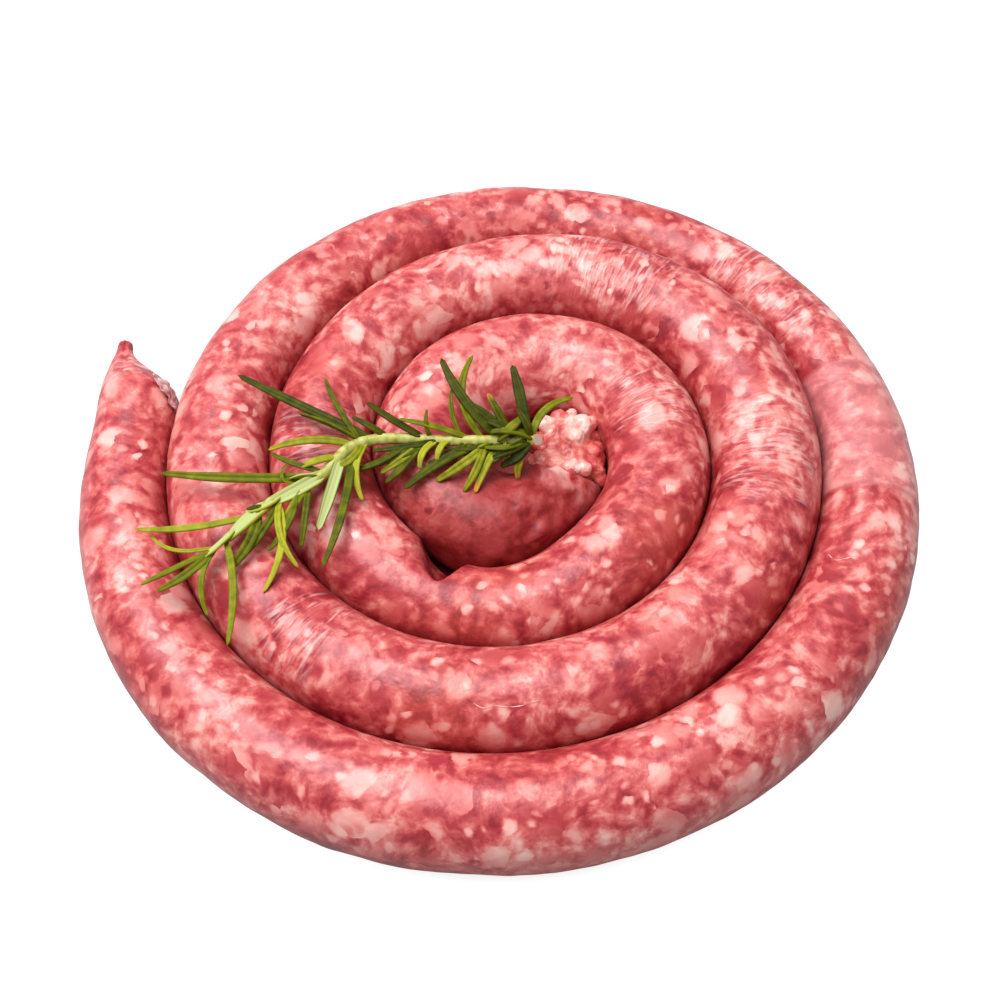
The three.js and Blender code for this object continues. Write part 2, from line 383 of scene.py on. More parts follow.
def hill(value, at, over):
    """A smooth hill, 1 high at a value and nearly gone at twice over from it."""
    return np.exp(-(((value - at) / over) ** 2))


def edge(angle):
    """How far the coil reaches from its middle at an angle wound, in millimetres."""
    wound = np.radians(angle)
    reach = EDGE_REACH - TURN_PITCH * angle / 360
    reach = reach + OFF_CENTRE_X * np.cos(wound) + OFF_CENTRE_Y * np.sin(wound)
    reach = reach + OUT_OF_ROUND * np.sin(2 * wound)
    for at, over, by in WANDERS:
        reach = reach + by * hill(angle, at, over)
    return reach


def wound_section(angle):
    """Middle, facing, outer half and inner half of the sausage at an angle wound."""
    outside = edge(angle) - TURN_GAP / 2
    inside = edge(angle + 360) + TURN_GAP / 2
    slimmest = CUT_HALF + SLIMS_PER_DEGREE * (WOUND_TO - angle)
    outer = np.minimum((outside - inside) / 2, slimmest)
    radius = outside - outer
    swollen = sum(by * hill(angle, at, over) for at, over, by in SWOLLEN)
    inner = np.minimum(outer + swollen, radius - CLEAR_OF_MIDDLE)
    faces = np.array([np.cos(np.radians(angle)), np.sin(np.radians(angle)), 0.0])
    return faces * radius + UP * (outer - SUNK), faces, outer, inner


print("outermost turn is", round(2 * wound_section(270.0)[2], 1), "mm thick at the front")

# %% [markdown]
# ## Stations along the sausage
#
# A curve with a round bevel would make a tube in one step, but the same on both sides and with no say
# over its ends. So the skin is laid over stations, one every millimetre of the sausage's length:
# first the pinched outer end, then the winding, then the short straight run to the cut. Each station
# keeps its middle, the way its outer side faces, its half sizes and how far along it is.

# %% The two ends
TIP_LENGTH = 51.0
TIP_STRAIGHT = 22.4
TIP_TAPERED = 48.6
TIP_NUB_HALF = 2.3
TIP_NUB_HIGH = 10.0
TIP_LEAN = 1.4
CUT_FIRST = 0.4
CUT_ALONG = 7.5
CUT_END_HALF = 11.8
CUT_INWARDS = 0.9
CUT_SWELL_LOST = 0.4


def smooth(value, low, high):
    """0 at low, 1 at high, and smooth in between. High may be the smaller of the two."""
    share = np.clip((value - low) / (high - low), 0.0, 1.0)
    return share * share * (3 - 2 * share)


def tip_section(along):
    """The outer end: straight on, then a taper to a nub, which is round at its very end."""
    middle, faces, half, _ = wound_section(WOUND_FROM)
    share = smooth(along, TIP_STRAIGHT, TIP_TAPERED)
    slim = half + (TIP_NUB_HALF - half) * share
    into_end = np.clip(1 - (TIP_LENGTH - along) / TIP_NUB_HALF, 0.0, 1.0)
    slim_here = slim * math.sqrt(1 - into_end**2)
    place = middle + np.cross(faces, UP) * along + faces * (half - slim - TIP_LEAN * share)
    place[2] += (TIP_NUB_HIGH - half) * share
    return place, faces, slim_here, slim_here


def cut_section(along):
    """The inner end, running straight on from the winding to its cut."""
    middle, faces, half, inner = wound_section(WOUND_TO)
    share = along / CUT_ALONG
    slim = half + (CUT_END_HALF - half) * share
    place = middle + np.cross(UP, faces) * along - faces * CUT_INWARDS * share
    place[2] = slim - SUNK
    return place, faces, slim, slim + (inner - half) * (1 - CUT_SWELL_LOST * share)


print("the nub is", round(2 * float(tip_section(TIP_TAPERED)[2]), 1), "mm thick")

# %% Stations
STATION_STEP = 0.97


def lengths_along(line):
    """How far along a line of points each of them is."""
    return np.r_[0, np.cumsum(np.linalg.norm(np.diff(line, axis=0), axis=1))]


def stations():
    """All sections in order from the nub to the cut, with length along and angle wound."""
    tip = [tip_section(off) for off in np.arange(TIP_LENGTH, 0, -STATION_STEP)]
    angles = []
    angle = WOUND_FROM
    while angle < WOUND_TO:
        angles.append(angle)
        radius = np.linalg.norm(wound_section(angle)[0][:2])
        angle += math.degrees(STATION_STEP / radius)
    end = [cut_section(off) for off in np.arange(CUT_FIRST, CUT_ALONG, STATION_STEP)]
    rows = tip + [wound_section(angle) for angle in angles] + end
    middles = np.array([row[0] for row in rows])
    faces = np.array([row[1] for row in rows])
    halves = np.array([[row[2], row[3]] for row in rows])
    wound = np.r_[[WOUND_FROM] * len(tip), angles, [WOUND_TO] * len(end)]
    return middles, faces, halves, lengths_along(middles), wound


middles, facings, halves, along, wound = stations()
print(len(along), "stations over", round(along[-1]), "mm of sausage")

# %% [markdown]
# ## A grid rolled into a tube
#
# A tube with eighty thousand faces isn't pushed into place by hand. A flat grid is added, as long as
# the sausage has stations and as wide as a ring has points, and each of its points is moved to its
# place on the tube. Where the grid's two long sides meet they are merged. The leaves, the stem and
# the fold are rolled the same way.

# %% Rolling a grid into a closed tube
MERGED_WITHIN = 0.01


def tube_rows(path, side, above, across, rise):
    """Rows of points round a path, across[row, column] to its side and rise[row, column] above."""
    return path[:, None] + side[:, None] * across[..., None] + above[:, None] * rise[..., None]


def capped(rows, first, last):
    """The rows of a tube, closed to a point before the first row and after the last."""
    ends = [np.tile(point, (1, rows.shape[1], 1)) for point in (first, last)]
    return np.concatenate([ends[0], rows, ends[1]])


def rolled(name, points, values, merged_within=MERGED_WITHIN):
    """A closed skin: points[row, column] in millimetres, and values for it to keep on each point."""
    rows, columns = points.shape[:2]
    bpy.ops.object.select_all(action="DESELECT")
    bpy.ops.mesh.primitive_grid_add(x_subdivisions=rows - 1, y_subdivisions=columns, size=2)
    piece = bpy.context.object
    piece.name = name
    flat = np.empty(len(piece.data.vertices) * 3)
    piece.data.vertices.foreach_get("co", flat)
    row = np.rint((flat[0::3] + 1) / 2 * (rows - 1)).astype(int)
    column = np.rint((flat[1::3] + 1) / 2 * columns).astype(int) % columns
    piece.data.vertices.foreach_set("co", (points[row, column] * MM).ravel())
    for key, value in values.items():
        is_vector = value.ndim == 3
        layer = piece.data.attributes.new(key, "FLOAT_VECTOR" if is_vector else "FLOAT", "POINT")
        layer.data.foreach_set("vector" if is_vector else "value", value[row, column].ravel())
    bpy.ops.object.mode_set(mode="EDIT")
    bpy.ops.mesh.select_all(action="SELECT")
    bpy.ops.mesh.remove_doubles(threshold=merged_within * MM)
    bpy.ops.mesh.normals_make_consistent(inside=False)
    bpy.ops.object.mode_set(mode="OBJECT")
    bpy.ops.object.shade_smooth()
    return piece


# %% [markdown]
# ## The casing
#
# Each station gets a ring of points, more on top, which shows, than underneath. The inner side may be
# wider than the outer one, because the sausage swells into the room that the middle of the coil
# leaves it. At the front of the third turn the skin is tucked in, in a sharp fold that is deepest
# just before it ends.

# %% The casing's rings
RING_POINTS = 56
TOP_CROWDING = 0.35
FOLD_WOUND = [944.0, 963.0, 967.0]  # where the fold starts, is deepest and ends
FOLD_DEPTH = 13.0
FOLD_CURVE = 1.3
FOLD_LOWEST = -0.5
FOLD_HIGHEST = 0.3

turn = np.arange(RING_POINTS) * 2 * math.pi / RING_POINTS
turn = turn + TOP_CROWDING * np.sin(turn) - math.pi / 2
cosines = np.cos(turn)
sines = np.sin(turn)

folded = FOLD_DEPTH * np.interp(wound, FOLD_WOUND, [0, 1, 0])[:, None] ** FOLD_CURVE
inner_halves = halves[:, 1:] - folded * smooth(sines, FOLD_LOWEST, FOLD_HIGHEST)
across = np.where(cosines > 0, halves[:, :1], inner_halves) * cosines
upright = halves[:, :1] * sines
ring = tube_rows(middles, facings, UP[None], across, upright)
print("rings of", RING_POINTS, "points, up to", round(float(ring[..., 2].max()), 1), "mm high")

# %% [markdown]
# The casing isn't a smooth pipe. It sags and swells a little over its length, bulges over the lumps
# of mince, most of all near the cut, and draws into pleats at the nub. On the right of the outer turn
# a second layer of casing lies over the first and ends in a hem. A Displace modifier could push the
# skin about, but it knows nothing of the turn beside it. Where turns press on each other they are
# smooth, so the relief fades out there and the meshes don't cut through each other.

# %% The casing's relief
SWELLS = [(26.0, 0.42), (9.0, 0.26), (4.2, 0.11)]
END_SWELLS = [(5.0, 2.4), (2.6, 0.9)]
END_SWELLS_FROM = 38.0
END_SWELLS_FULL = 18.0
OTHER_NOISE = 300.0
TOUCH_FROM = 0.8
TOUCH_FULL = 0.985
PLEATS = 9
PLEAT_DEPTH = 0.07
PLEATS_FROM = 28.0
PLEATS_FULL = 6.0
PLEATS_TWIST = 0.25
BAND_FROM = 351.0
BAND_TO = 378.0
BAND_EDGE = 0.25
BAND_RISE = 0.14


def relief(places, sizes=SWELLS):
    """Millimetres of smooth lumps at each place, in blobs of several sizes."""
    flat = places.reshape(-1, 3)
    rise = np.zeros(len(flat))
    for per, by in sizes:
        rise += [by * noise.noise(Vector(place / per)) for place in flat]
    return rise.reshape(places.shape[:-1])


turns_beside = np.where(cosines > 0, wound[:, None] > WOUND_FROM + 360, wound[:, None] < WOUND_TO - 360)
free = 1 - turns_beside * smooth(np.abs(cosines), TOUCH_FROM, TOUCH_FULL)
before_cut = along[-1] - along
lumpy_end = smooth(before_cut, END_SWELLS_FROM, END_SWELLS_FULL)[:, None]
pleated_end = smooth(along, PLEATS_FROM, PLEATS_FULL)[:, None]
band = smooth(wound, BAND_FROM - BAND_EDGE, BAND_FROM + BAND_EDGE)
band = band * smooth(wound, BAND_TO + BAND_EDGE, BAND_TO - BAND_EDGE)
swell = relief(ring) * free
swell += relief(ring + OTHER_NOISE, END_SWELLS) * free * lumpy_end
pleating = np.sin(turn * PLEATS + along[:, None] * PLEATS_TWIST)
swell += pleated_end * PLEAT_DEPTH * halves[:, :1] * pleating
swell += BAND_RISE * band[:, None] * free
outwards = facings[:, None] * cosines[:, None] + UP * sines[:, None]
skin_points = ring + outwards * swell[..., None]
print("relief from", round(swell.min(), 2), "to", round(swell.max(), 2), "mm")

# %% [markdown]
# The cut end is open. Past the last station the grid turns over a thin rim, goes back inside for a
# few millimetres and closes there, where the mince that stands out of the cut begins. The rim isn't
# straight: it is drawn back on top, where the lumps push out.

# %% The rim of the cut
RIM_BACK = 6.3
RIM_BACK_FROM = -0.2
RIM_BACK_FULL = 0.95
RIM_BACK_OVER = 16.0
RIM_WAVES = [
    # waves round the rim, where the first one starts, how deep they are
    (3, 1.0, 0.5), (7, 0.0, 0.3),
]
RIM_ROWS = [
    # how far inwards from the last row of the skin, and how far onwards
    (0.105, 0.12), (0.35, 0.0), (0.49, -1.2), (0.7, -3.5), (5.7, -4.5),
]
RIM_CLOSES_BACK = 5.0
ONWARDS = np.cross(UP, facings[-1])

drawn_back = RIM_BACK * smooth(sines, RIM_BACK_FROM, RIM_BACK_FULL)
drawn_back += sum(deep * np.sin(count * turn + start) for count, start, deep in RIM_WAVES)
near_cut = smooth(before_cut, RIM_BACK_OVER, 0.0)[:, None]
skin_points = skin_points - ONWARDS * (near_cut * drawn_back)[..., None]

last = skin_points[-1]
heart = last.mean(axis=0)
inwards = heart - last
inwards -= ONWARDS * (inwards @ ONWARDS)[:, None]
inwards /= np.linalg.norm(inwards, axis=1)[:, None]
rim = [last + inwards * into + ONWARDS * onwards for into, onwards in RIM_ROWS]
rim_closes = heart - ONWARDS * RIM_CLOSES_BACK
skin_rows = capped(np.concatenate([skin_points, rim]), skin_points[0].mean(axis=0), rim_closes)
skin_rows[..., 2] = np.maximum(skin_rows[..., 2], 0.0)
skin_rows += WINDING_MIDDLE
print("the rim is drawn back by up to", round(drawn_back.max(), 1), "mm")

# %% [markdown]
# ## Values kept on the casing
#
# A finish knows a place, and not that it lies beside a seam or near the cut. So the mesh keeps values
# on its points, and the finish reads them as attributes. Tube is the place in the sausage's own
# lengths: along it, across it and up. Stuffing is the place pushed about in swirls, as the mince was
# when it was pressed in. Clusters and zones say where fat gathers, over a centimetre or two and over
# whole stretches. Seam is where painted shade grows down the flanks beside the seams and down the
# outer turn's free flank. Deep is the last half turn, which is darker red, partly as leaner meat and
# partly as painted shade.
# Band is the second layer of casing and hem its two ends, one pale and one dark. Pleats is a place
# drawn out along the sausage, for the wrinkles, and shrunk is where there are any. Crest is how high
# on its ring a point lies.
#
# Blender draws the swirls by the clock until it is given a seed, and the fat would then lie another
# way in every render.

# %% Swirls, zones and wrinkles
SWIRLS_SEED = 1795887501
STUFFING_SWIRLS = [(15.0, 2.8), (5.0, 0.9)]
CLUSTERS = [(17.0, 1.2)]
ZONES = [(34.0, 0.8)]
ZONES_NOISE = 640.0
TONED = [
    # at which angle wound, over how many degrees, and how much paler
    (270, 110, 0.15), (540, 60, 0.2), (720, 50, 0.2), (810, 50, 0.15), (990, 45, -0.3), (1110, 60, 0.3),
    (1190, 40, 0.25),
]
PALER_BY_CUT = 0.35
PALER_FROM = 30.0
PALER_FULL = 10.0
WRINKLED = [(400, 16), (586, 7), (717, 16), (783, 20), (900, 12), (1100, 20)]
WRINKLES_PATCHY = [(9.0, 0.9)]
WRINKLES_NOISE = 700.0
PLEATS_SWIRLS = [(6.0, 0.6)]
PLEATS_DRAWN_OUT = np.array([1.0, 0.22, 0.22])
PATTERN_OUT = 0.6


def drifted(places, swirls):
    """The places pushed about by smooth noise, in swirls of several sizes."""
    moved = places.reshape(-1, 3).copy()
    for per, by in swirls:
        moved += [tuple(by * noise.noise_vector(Vector(place / per))) for place in moved]
    return moved.reshape(places.shape)


def for_all_rows(values):
    """Values of the stations, with rows added for the closed nub and for the rim."""
    return np.concatenate([values[:1], values, values[-1:].repeat(len(rim) + 1, axis=0)])


noise.seed_set(SWIRLS_SEED)
drawn = for_all_rows(lengths_along(middles + facings * halves[:, :1] * PATTERN_OUT))[:, None]
row_wound = for_all_rows(wound)[:, None]
row_before_cut = drawn[-1] - drawn
everywhere = np.ones(skin_rows.shape[:2])
tube = np.stack([drawn * everywhere, for_all_rows(across), for_all_rows(upright)], axis=2)
toned = sum(by * hill(row_wound, at, over) for at, over, by in TONED)
toned = toned + PALER_BY_CUT * smooth(row_before_cut, PALER_FROM, PALER_FULL)
wrinkled_here = sum(hill(row_wound, at, over) for at, over in WRINKLED)
print("the pattern runs over", round(float(drawn[-1, 0])), "mm")

# %% Painted shade beside the seams, the darker last half turn, and the hem
SEAM_SHADE_FROM = 0.85
SEAM_SHADE_FULL = 0.1
OUTER_SHADE = 1.2
OUTER_SHADE_FROM = 0.6
OUTER_SHADE_FULL = -0.45
DEEP_FROM = 1262.0
DEEP_FULL = 1320.0
DEEP_AT_CUT = 0.3
DEEP_ENDS_FROM = 18.0
DEEP_ENDS_AT = 4.0
DEEP_PALER = 0.6
PALE_HEM_WIDE = 0.4
DARK_HEM_WIDE = 0.5

on_outside = 1 - turns_beside
# Seam is painted shade: down the flanks beside the seams, and down the outer turn's free flank.
seams = turns_beside * smooth(sines, SEAM_SHADE_FROM, SEAM_SHADE_FULL)
seams = seams + on_outside * OUTER_SHADE * smooth(sines, OUTER_SHADE_FROM, OUTER_SHADE_FULL)
left_of_cut = smooth(row_before_cut, DEEP_ENDS_AT, DEEP_ENDS_FROM)
# The last half turn is darker, partly as leaner meat and partly as painted shade, less so at the cut.
last_half_turn = smooth(row_wound, DEEP_FROM, DEEP_FULL)
last_half_turn = last_half_turn * (DEEP_AT_CUT + (1 - DEEP_AT_CUT) * left_of_cut)
hem = hill(row_wound, BAND_TO, PALE_HEM_WIDE) - hill(row_wound, BAND_FROM, DARK_HEM_WIDE)
print("dark red from", DEEP_FROM, "to", WOUND_TO, "degrees wound")

# %% The casing
zones = relief(tube + ZONES_NOISE, ZONES) + toned + DEEP_PALER * last_half_turn
casing_skin = rolled(
    "casing_skin",
    skin_rows,
    {
        "tube": tube,
        "stuffing": drifted(skin_rows, STUFFING_SWIRLS),
        "clusters": relief(skin_rows, CLUSTERS),
        "zones": zones,
        "pleats": drifted(tube, PLEATS_SWIRLS) * PLEATS_DRAWN_OUT,
        "shrunk": wrinkled_here * (1 + relief(tube + WRINKLES_NOISE, WRINKLES_PATCHY)),
        "band": everywhere * for_all_rows(band)[:, None],
        "hem": everywhere * hem,
        "deep": everywhere * last_half_turn,
        "seam": for_all_rows(seams),
        "crest": everywhere * sines,
    },
)
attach(casing_skin, "root")
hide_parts("casing", "filling")
print("casing:", len(casing_skin.data.polygons), "faces")

# %% [markdown]
# ## The finish of meat under a wet casing
#
# Coarse mince is lumps of fat from two to eight millimetres across in torn lean. Two layers of cells,
# each cell with its own size and tone, give the fat. The lean between them runs from deep maroon to
# coral in smears. All of it is read from the stuffing attribute, the place on the sausage pushed about
# in swirls, and a finer drift makes the lumps' edges ragged, so that no lump is round.

# %% The pattern of lean and fat
CHUNK_LAYERS = [
    # cell size, smallest and largest half size, how soft its edge is, share of cells with a chunk
    (8.6, 2.2, 4.6, 1.5, 0.78),
    (3.7, 0.8, 1.75, 0.8, 0.5),
]
CHUNK_SHOWS = 0.8
CHUNK_CHANCE_EDGE = 0.02
RAG_SIZE = 2.2
RAG_REACH = 0.8
SMEAR_SIZE = 4.8
SMEAR_DETAIL = 3.5
SMEAR_ROUGH = 0.6
SMEAR_CONTRAST = 1.8
SMEAR_DARKER = 0.53
ZONES_PALER = 0.3
CLUSTERS_PALER = 0.08
FAT_CURVE = 0.55
FAT_RANGE = 0.85
FAT_CLUSTERS = 0.42
FAT_LEAST = 0.1
WARM = linear(214, 98, 74)
WARM_SHARE = 0.22
WARM_SMEARS = 0.5
WARM_FROM = 0.3
WARM_FULL = 0.7
MEAT_STOPS = [
    (0.04, linear(146, 34, 44)),
    (0.25, linear(176, 56, 63)),
    (0.43, linear(199, 88, 87)),
    (0.56, linear(216, 118, 113)),
    (0.70, linear(228, 152, 144)),
    (0.95, linear(238, 190, 180)),
]


def lean_and_fat(finish, place, clusters, zones):
    """The colour of coarse mince at a place in millimetres."""
    ragged = finish.drift(place, RAG_SIZE, RAG_REACH)
    smears = finish.noise(place, SMEAR_SIZE, SMEAR_DETAIL, SMEAR_ROUGH)
    paleness = smears * SMEAR_CONTRAST - SMEAR_DARKER + zones * ZONES_PALER + clusters * CLUSTERS_PALER
    for cell, small, large, soft, share in CHUNK_LAYERS:
        values = {"Vector": ragged, "Scale": 1.0 / cell, "Randomness": 1.0}
        distance, own, _ = finish.node("TexVoronoi", None, values)
        size, chance, tone = finish.node("SeparateColor", None, {"Color": own})
        inside = size * (large - small) + small - distance * cell
        chunk = finish.step(inside, -soft, soft)
        chunk = chunk * finish.step(share - chance, -CHUNK_CHANCE_EDGE, CHUNK_CHANCE_EDGE)
        fat = tone**FAT_CURVE * FAT_RANGE + clusters * FAT_CLUSTERS + FAT_LEAST
        paleness = paleness + (fat - paleness) * chunk * CHUNK_SHOWS
    warm = finish.step(smears * WARM_SMEARS - zones, WARM_FROM, WARM_FULL)
    return finish.mix(warm * WARM_SHARE, finish.ramp(paleness, MEAT_STOPS), WARM)


print("layers of fat:", len(CHUNK_LAYERS))

# %% [markdown]
# The casing lies over that pattern. Beside the seams and down the outer turn's free flank the meat gets
# painted shade, and the last half turn is darkened, partly as leaner meat and partly as painted shade,
# both by multiplying it with dark red. Where there are two layers of casing they veil it a little, and
# their ends show as thin lines. Where the casing has shrunk it stands in fine wrinkles round the tube,
# which catch the light: they are relief, and on the tops of the turns a few of them also get painted
# highlights as pale streaks.

# %% The casing's finish
# Multiplied over the meat: painted shade beside the seams and on the free flank, the dark hem line, and
# the last half turn, which is leaner meat and painted shade.
SHADE_AND_HEM_RED = (0.55, 0.17, 0.2, 1.0)
DEEP_LEAN_AND_SHADE_RED = (0.5, 0.13, 0.14, 1.0)
DOUBLE_CASING = linear(232, 170, 170)
HEM_PALE = linear(255, 226, 218)
WRINKLE_HIGHLIGHT = linear(250, 208, 202)
SEAM_DARKENS = 0.8
BAND_VEILS = 0.27
HEM_PALE_SHARE = 0.5
HEM_DARK_SHARE = 0.6
PATCHY_FROM = -0.1
PATCHY_FULL = 0.25
TOP_FROM = 0.35
TOP_FULL = 0.85
SHRUNK_FROM = 0.3
SHRUNK_FULL = 0.8
STREAK_FROM = 0.5
STREAK_FULL = 0.68
WRINKLE_WIDE = 1.5
WRINKLE_RISE = 2.0
WRINKLE_HIGHLIGHT_SHARE = 0.38
LUMP_WIDE = 2.6
LUMP_RISE = 0.5
RELIEF_DEPTH = 0.5
WET = 0.4
DEEP_DRIER = 0.16

skin = Finish("meat_under_casing")
clusters = skin.attribute("clusters")
deep_here = skin.attribute("deep")
hem_here = skin.attribute("hem")
meat = lean_and_fat(skin, skin.vector_attribute("stuffing"), clusters, skin.attribute("zones"))
# Painted shade beside the seams and down the free flank, then the last half turn: leaner meat and
# painted shade.
meat = skin.mix(skin.attribute("seam") * SEAM_DARKENS, meat, SHADE_AND_HEM_RED, "MULTIPLY")
meat = skin.mix(deep_here, meat, DEEP_LEAN_AND_SHADE_RED, "MULTIPLY")
veiled = skin.mix(skin.attribute("band") * BAND_VEILS, meat, DOUBLE_CASING)
patchy = skin.step(clusters, PATCHY_FROM, PATCHY_FULL)
veiled = skin.mix(hem_here * patchy * HEM_PALE_SHARE, veiled, HEM_PALE)
veiled = skin.mix(hem_here * -HEM_DARK_SHARE, veiled, SHADE_AND_HEM_RED, "MULTIPLY")

on_top = skin.step(skin.attribute("crest"), TOP_FROM, TOP_FULL)
wrinkled = skin.step(skin.attribute("shrunk"), SHRUNK_FROM, SHRUNK_FULL) * on_top
wrinkles = skin.noise(skin.vector_attribute("pleats"), WRINKLE_WIDE, 1.0)
lumps = skin.noise(skin.vector_attribute("tube"), LUMP_WIDE, 2.0)
# Painted highlights: some wrinkles on the tops of the turns get pale streaks.
painted_glints = skin.step(wrinkles, STREAK_FROM, STREAK_FULL) * wrinkled
skin.set(
    Base_Color=skin.mix(painted_glints * WRINKLE_HIGHLIGHT_SHARE, veiled, WRINKLE_HIGHLIGHT),
    Roughness=deep_here * DEEP_DRIER + WET,
    Normal=skin.bump(lumps * LUMP_RISE + wrinkles * wrinkled * WRINKLE_RISE, RELIEF_DEPTH),
    Subsurface_Weight=0.3,
    Subsurface_Radius=(1.0, 0.4, 0.3),
    Subsurface_Scale=1.4 * MM,
    IOR=1.45,
    Coat_Weight=0.12,
    Coat_Roughness=0.3,
)
skin.dress(casing_skin)
print("the casing's finish has", len(skin.tree.nodes), "nodes")

# %% [markdown]
# ## Finding places on the casing
#
# Small things lie on the casing, so its surface has to be found again. A ray straight down gives how
# high the coil stands at a place in plan. A ray from the camera gives the place behind a pixel.

# %% Rays to the casing
ABOVE_ALL = 80.0
FRONT = (0.0, -95.0)

skin_tree = BVHTree.FromObject(casing_skin, bpy.context.evaluated_depsgraph_get())


def ground_at(x, y):
    """How high the casing stands at a place in plan, in millimetres; 0 beside the coil."""
    hit = skin_tree.ray_cast(Vector((x, y, ABOVE_ALL)) * MM, Vector((0, 0, -1)))[0]
    return hit.z / MM if hit else 0.0


def on_casing(pixel):
    """The place on the casing behind a pixel of the photo, and the way its surface faces."""
    way = Vector(seen(pixel, 0.0) - camera_place).normalized()
    place, normal, _, _ = skin_tree.ray_cast(Vector(camera_place * MM), way)
    return np.array(place) / MM, np.array(normal)


print("the coil stands", round(ground_at(*FRONT), 1), "mm high at its front")

# %% [markdown]
# ## The mince at the cut
#
# The mince stands out of the cut as a heap of soft lumps. Balls of several sizes are set where the
# photo shows lumps, and more by chance over the rest of the heap. Metaballs would melt together; here
# the balls are joined and remeshed into one skin, which keeps a crease wherever two of them meet.

# %% Where the lumps of mince are
CORES = [
    # middle and half sizes of the balls that fill the heap
    ((13.2, -0.6, 12.0), (10.2, 7.0, 11.0)),
    ((12.6, 5.6, 12.2), (8.6, 7.0, 10.8)),
    ((11.8, 9.6, 11.4), (6.4, 6.6, 10.0)),
]
SEEN_LUMPS = [
    # x, y, z and half size in the winding's millimetres, and how fat
    (7.2, 10.8, 20.0, 3.4, 0.95), (14.5, 16.4, 16.8, 2.1, 1.0), (16.2, 9.6, 20.0, 4.8, 1.0),
    (15.0, 4.8, 21.2, 3.2, 0.95), (11.2, 7.4, 20.0, 3.1, 0.35), (10.0, 1.8, 21.0, 3.1, 0.4),
    (8.2, -2.2, 20.8, 3.3, 0.6), (14.8, -2.2, 19.4, 2.8, 0.3), (18.2, -1.2, 17.2, 2.8, 0.0),
    (19.6, 2.6, 17.8, 3.4, 0.15), (19.8, 12.4, 17.5, 2.5, 0.55), (11.4, 14.6, 16.6, 3.3, 0.45),
    (21.4, 6.0, 14.0, 3.5, 0.15), (20.4, 10.2, 13.6, 3.4, 0.3), (21.6, 1.6, 14.6, 3.3, 0.2),
    (17.6, 13.0, 12.4, 3.2, 0.4), (4.0, 6.0, 17.0, 3.4, 0.2), (3.6, 9.4, 14.0, 3.2, 0.3),
    (4.6, -4.2, 22.0, 3.4, 0.5), (9.4, -5.2, 22.4, 3.4, 0.65), (13.4, -5.8, 22.0, 3.1, 0.75),
    (17.2, -5.4, 20.4, 2.9, 0.85), (20.6, -2.8, 17.0, 3.2, 0.4), (21.0, -1.6, 12.6, 3.4, 0.1),
    (22.2, -4.6, 13.2, 2.9, 0.15),
]
SEED = 11
FILLER_LUMPS = 30
FILLERS_LEAN = 0.5
FILLERS_OUT = 0.86
FILLERS_UNDER = 15.5
FILLERS_BEFORE = 4.0
FILLER_HALVES = (2.2, 3.6)
FILLER_FATS = (0.1, 0.3, 0.5, 0.9)

chance = random.Random(SEED)
heap = [(np.array(lump[:3]), lump[3], lump[4]) for lump in SEEN_LUMPS]
for index in range(FILLER_LUMPS):
    core, core_halves = CORES[index % len(CORES)]
    way = Vector((chance.gauss(0, 1), chance.gauss(FILLERS_LEAN, 1), chance.gauss(0, 1))).normalized()
    lump_place = np.array(core) + np.array(way) * np.array(core_halves) * FILLERS_OUT
    if lump_place[2] < FILLERS_UNDER or lump_place[1] < FILLERS_BEFORE:
        heap.append((lump_place, chance.uniform(*FILLER_HALVES), chance.choice(FILLER_FATS)))
print("lumps in the heap:", len(heap))

# %% The heap of balls, made one skin
BALL_AXIS = Vector((0.3, 1.0, 0.5)).normalized()
BALL_DEPTHS = (0.75, 1.0)
BALL_HEIGHTS = (0.8, 1.0)
BALL_TURNS = (0, 3)
REMESHED_TO = 0.42
SOFTENED_BY = 0.5
SOFTENED_TIMES = 6


def ball(place, half_sizes, turned):
    """An icosphere put at a place of the winding, longer one way than another."""
    bpy.ops.mesh.primitive_ico_sphere_add(subdivisions=3, radius=1)
    piece = bpy.context.object
    about = Matrix.Rotation(turned, 3, BALL_AXIS)
    for vertex in piece.data.vertices:
        point = about @ Vector(np.array(vertex.co) * half_sizes)
        vertex.co = (point + Vector(place + WINDING_MIDDLE)) * MM
    return piece


def joined(pieces, name):
    """Several pieces made into one."""
    bpy.ops.object.select_all(action="DESELECT")
    for piece in pieces:
        piece.select_set(True)
    bpy.context.view_layer.objects.active = pieces[0]
    bpy.ops.object.join()
    pieces[0].name = name
    return pieces[0]


balls = [ball(np.array(core), np.array(core_halves), 0.0) for core, core_halves in CORES]
for lump_place, half, _ in heap:
    stretch = np.array([1.0, chance.uniform(*BALL_DEPTHS), chance.uniform(*BALL_HEIGHTS)])
    balls.append(ball(lump_place, stretch * half, chance.uniform(*BALL_TURNS)))
mince_end = joined(balls, "mince_end")
remesh = mince_end.modifiers.new("one_skin", "REMESH")
remesh.mode = "VOXEL"
remesh.voxel_size = REMESHED_TO * MM
bpy.ops.object.modifier_apply(modifier=remesh.name)
soften = mince_end.modifiers.new("soften", "SMOOTH")
soften.factor = SOFTENED_BY
soften.iterations = SOFTENED_TIMES
bpy.ops.object.modifier_apply(modifier=soften.name)
bpy.ops.object.shade_smooth()
print("mince:", len(mince_end.data.polygons), "faces")

# %% [markdown]
# The balls are too smooth for torn meat, so the skin gets a crumbly relief. Each of its points also
# keeps how fat it is, from the lumps nearest to it, and whether it lies in a crease, where the two
# nearest lumps are about as near.

# %% Crumbs, fat and creases
CRUMBS = [(3.4, 0.85), (1.5, 0.3), (0.8, 0.1)]
FAT_SHARPNESS = 6.0
CREASE_WIDE = 0.14

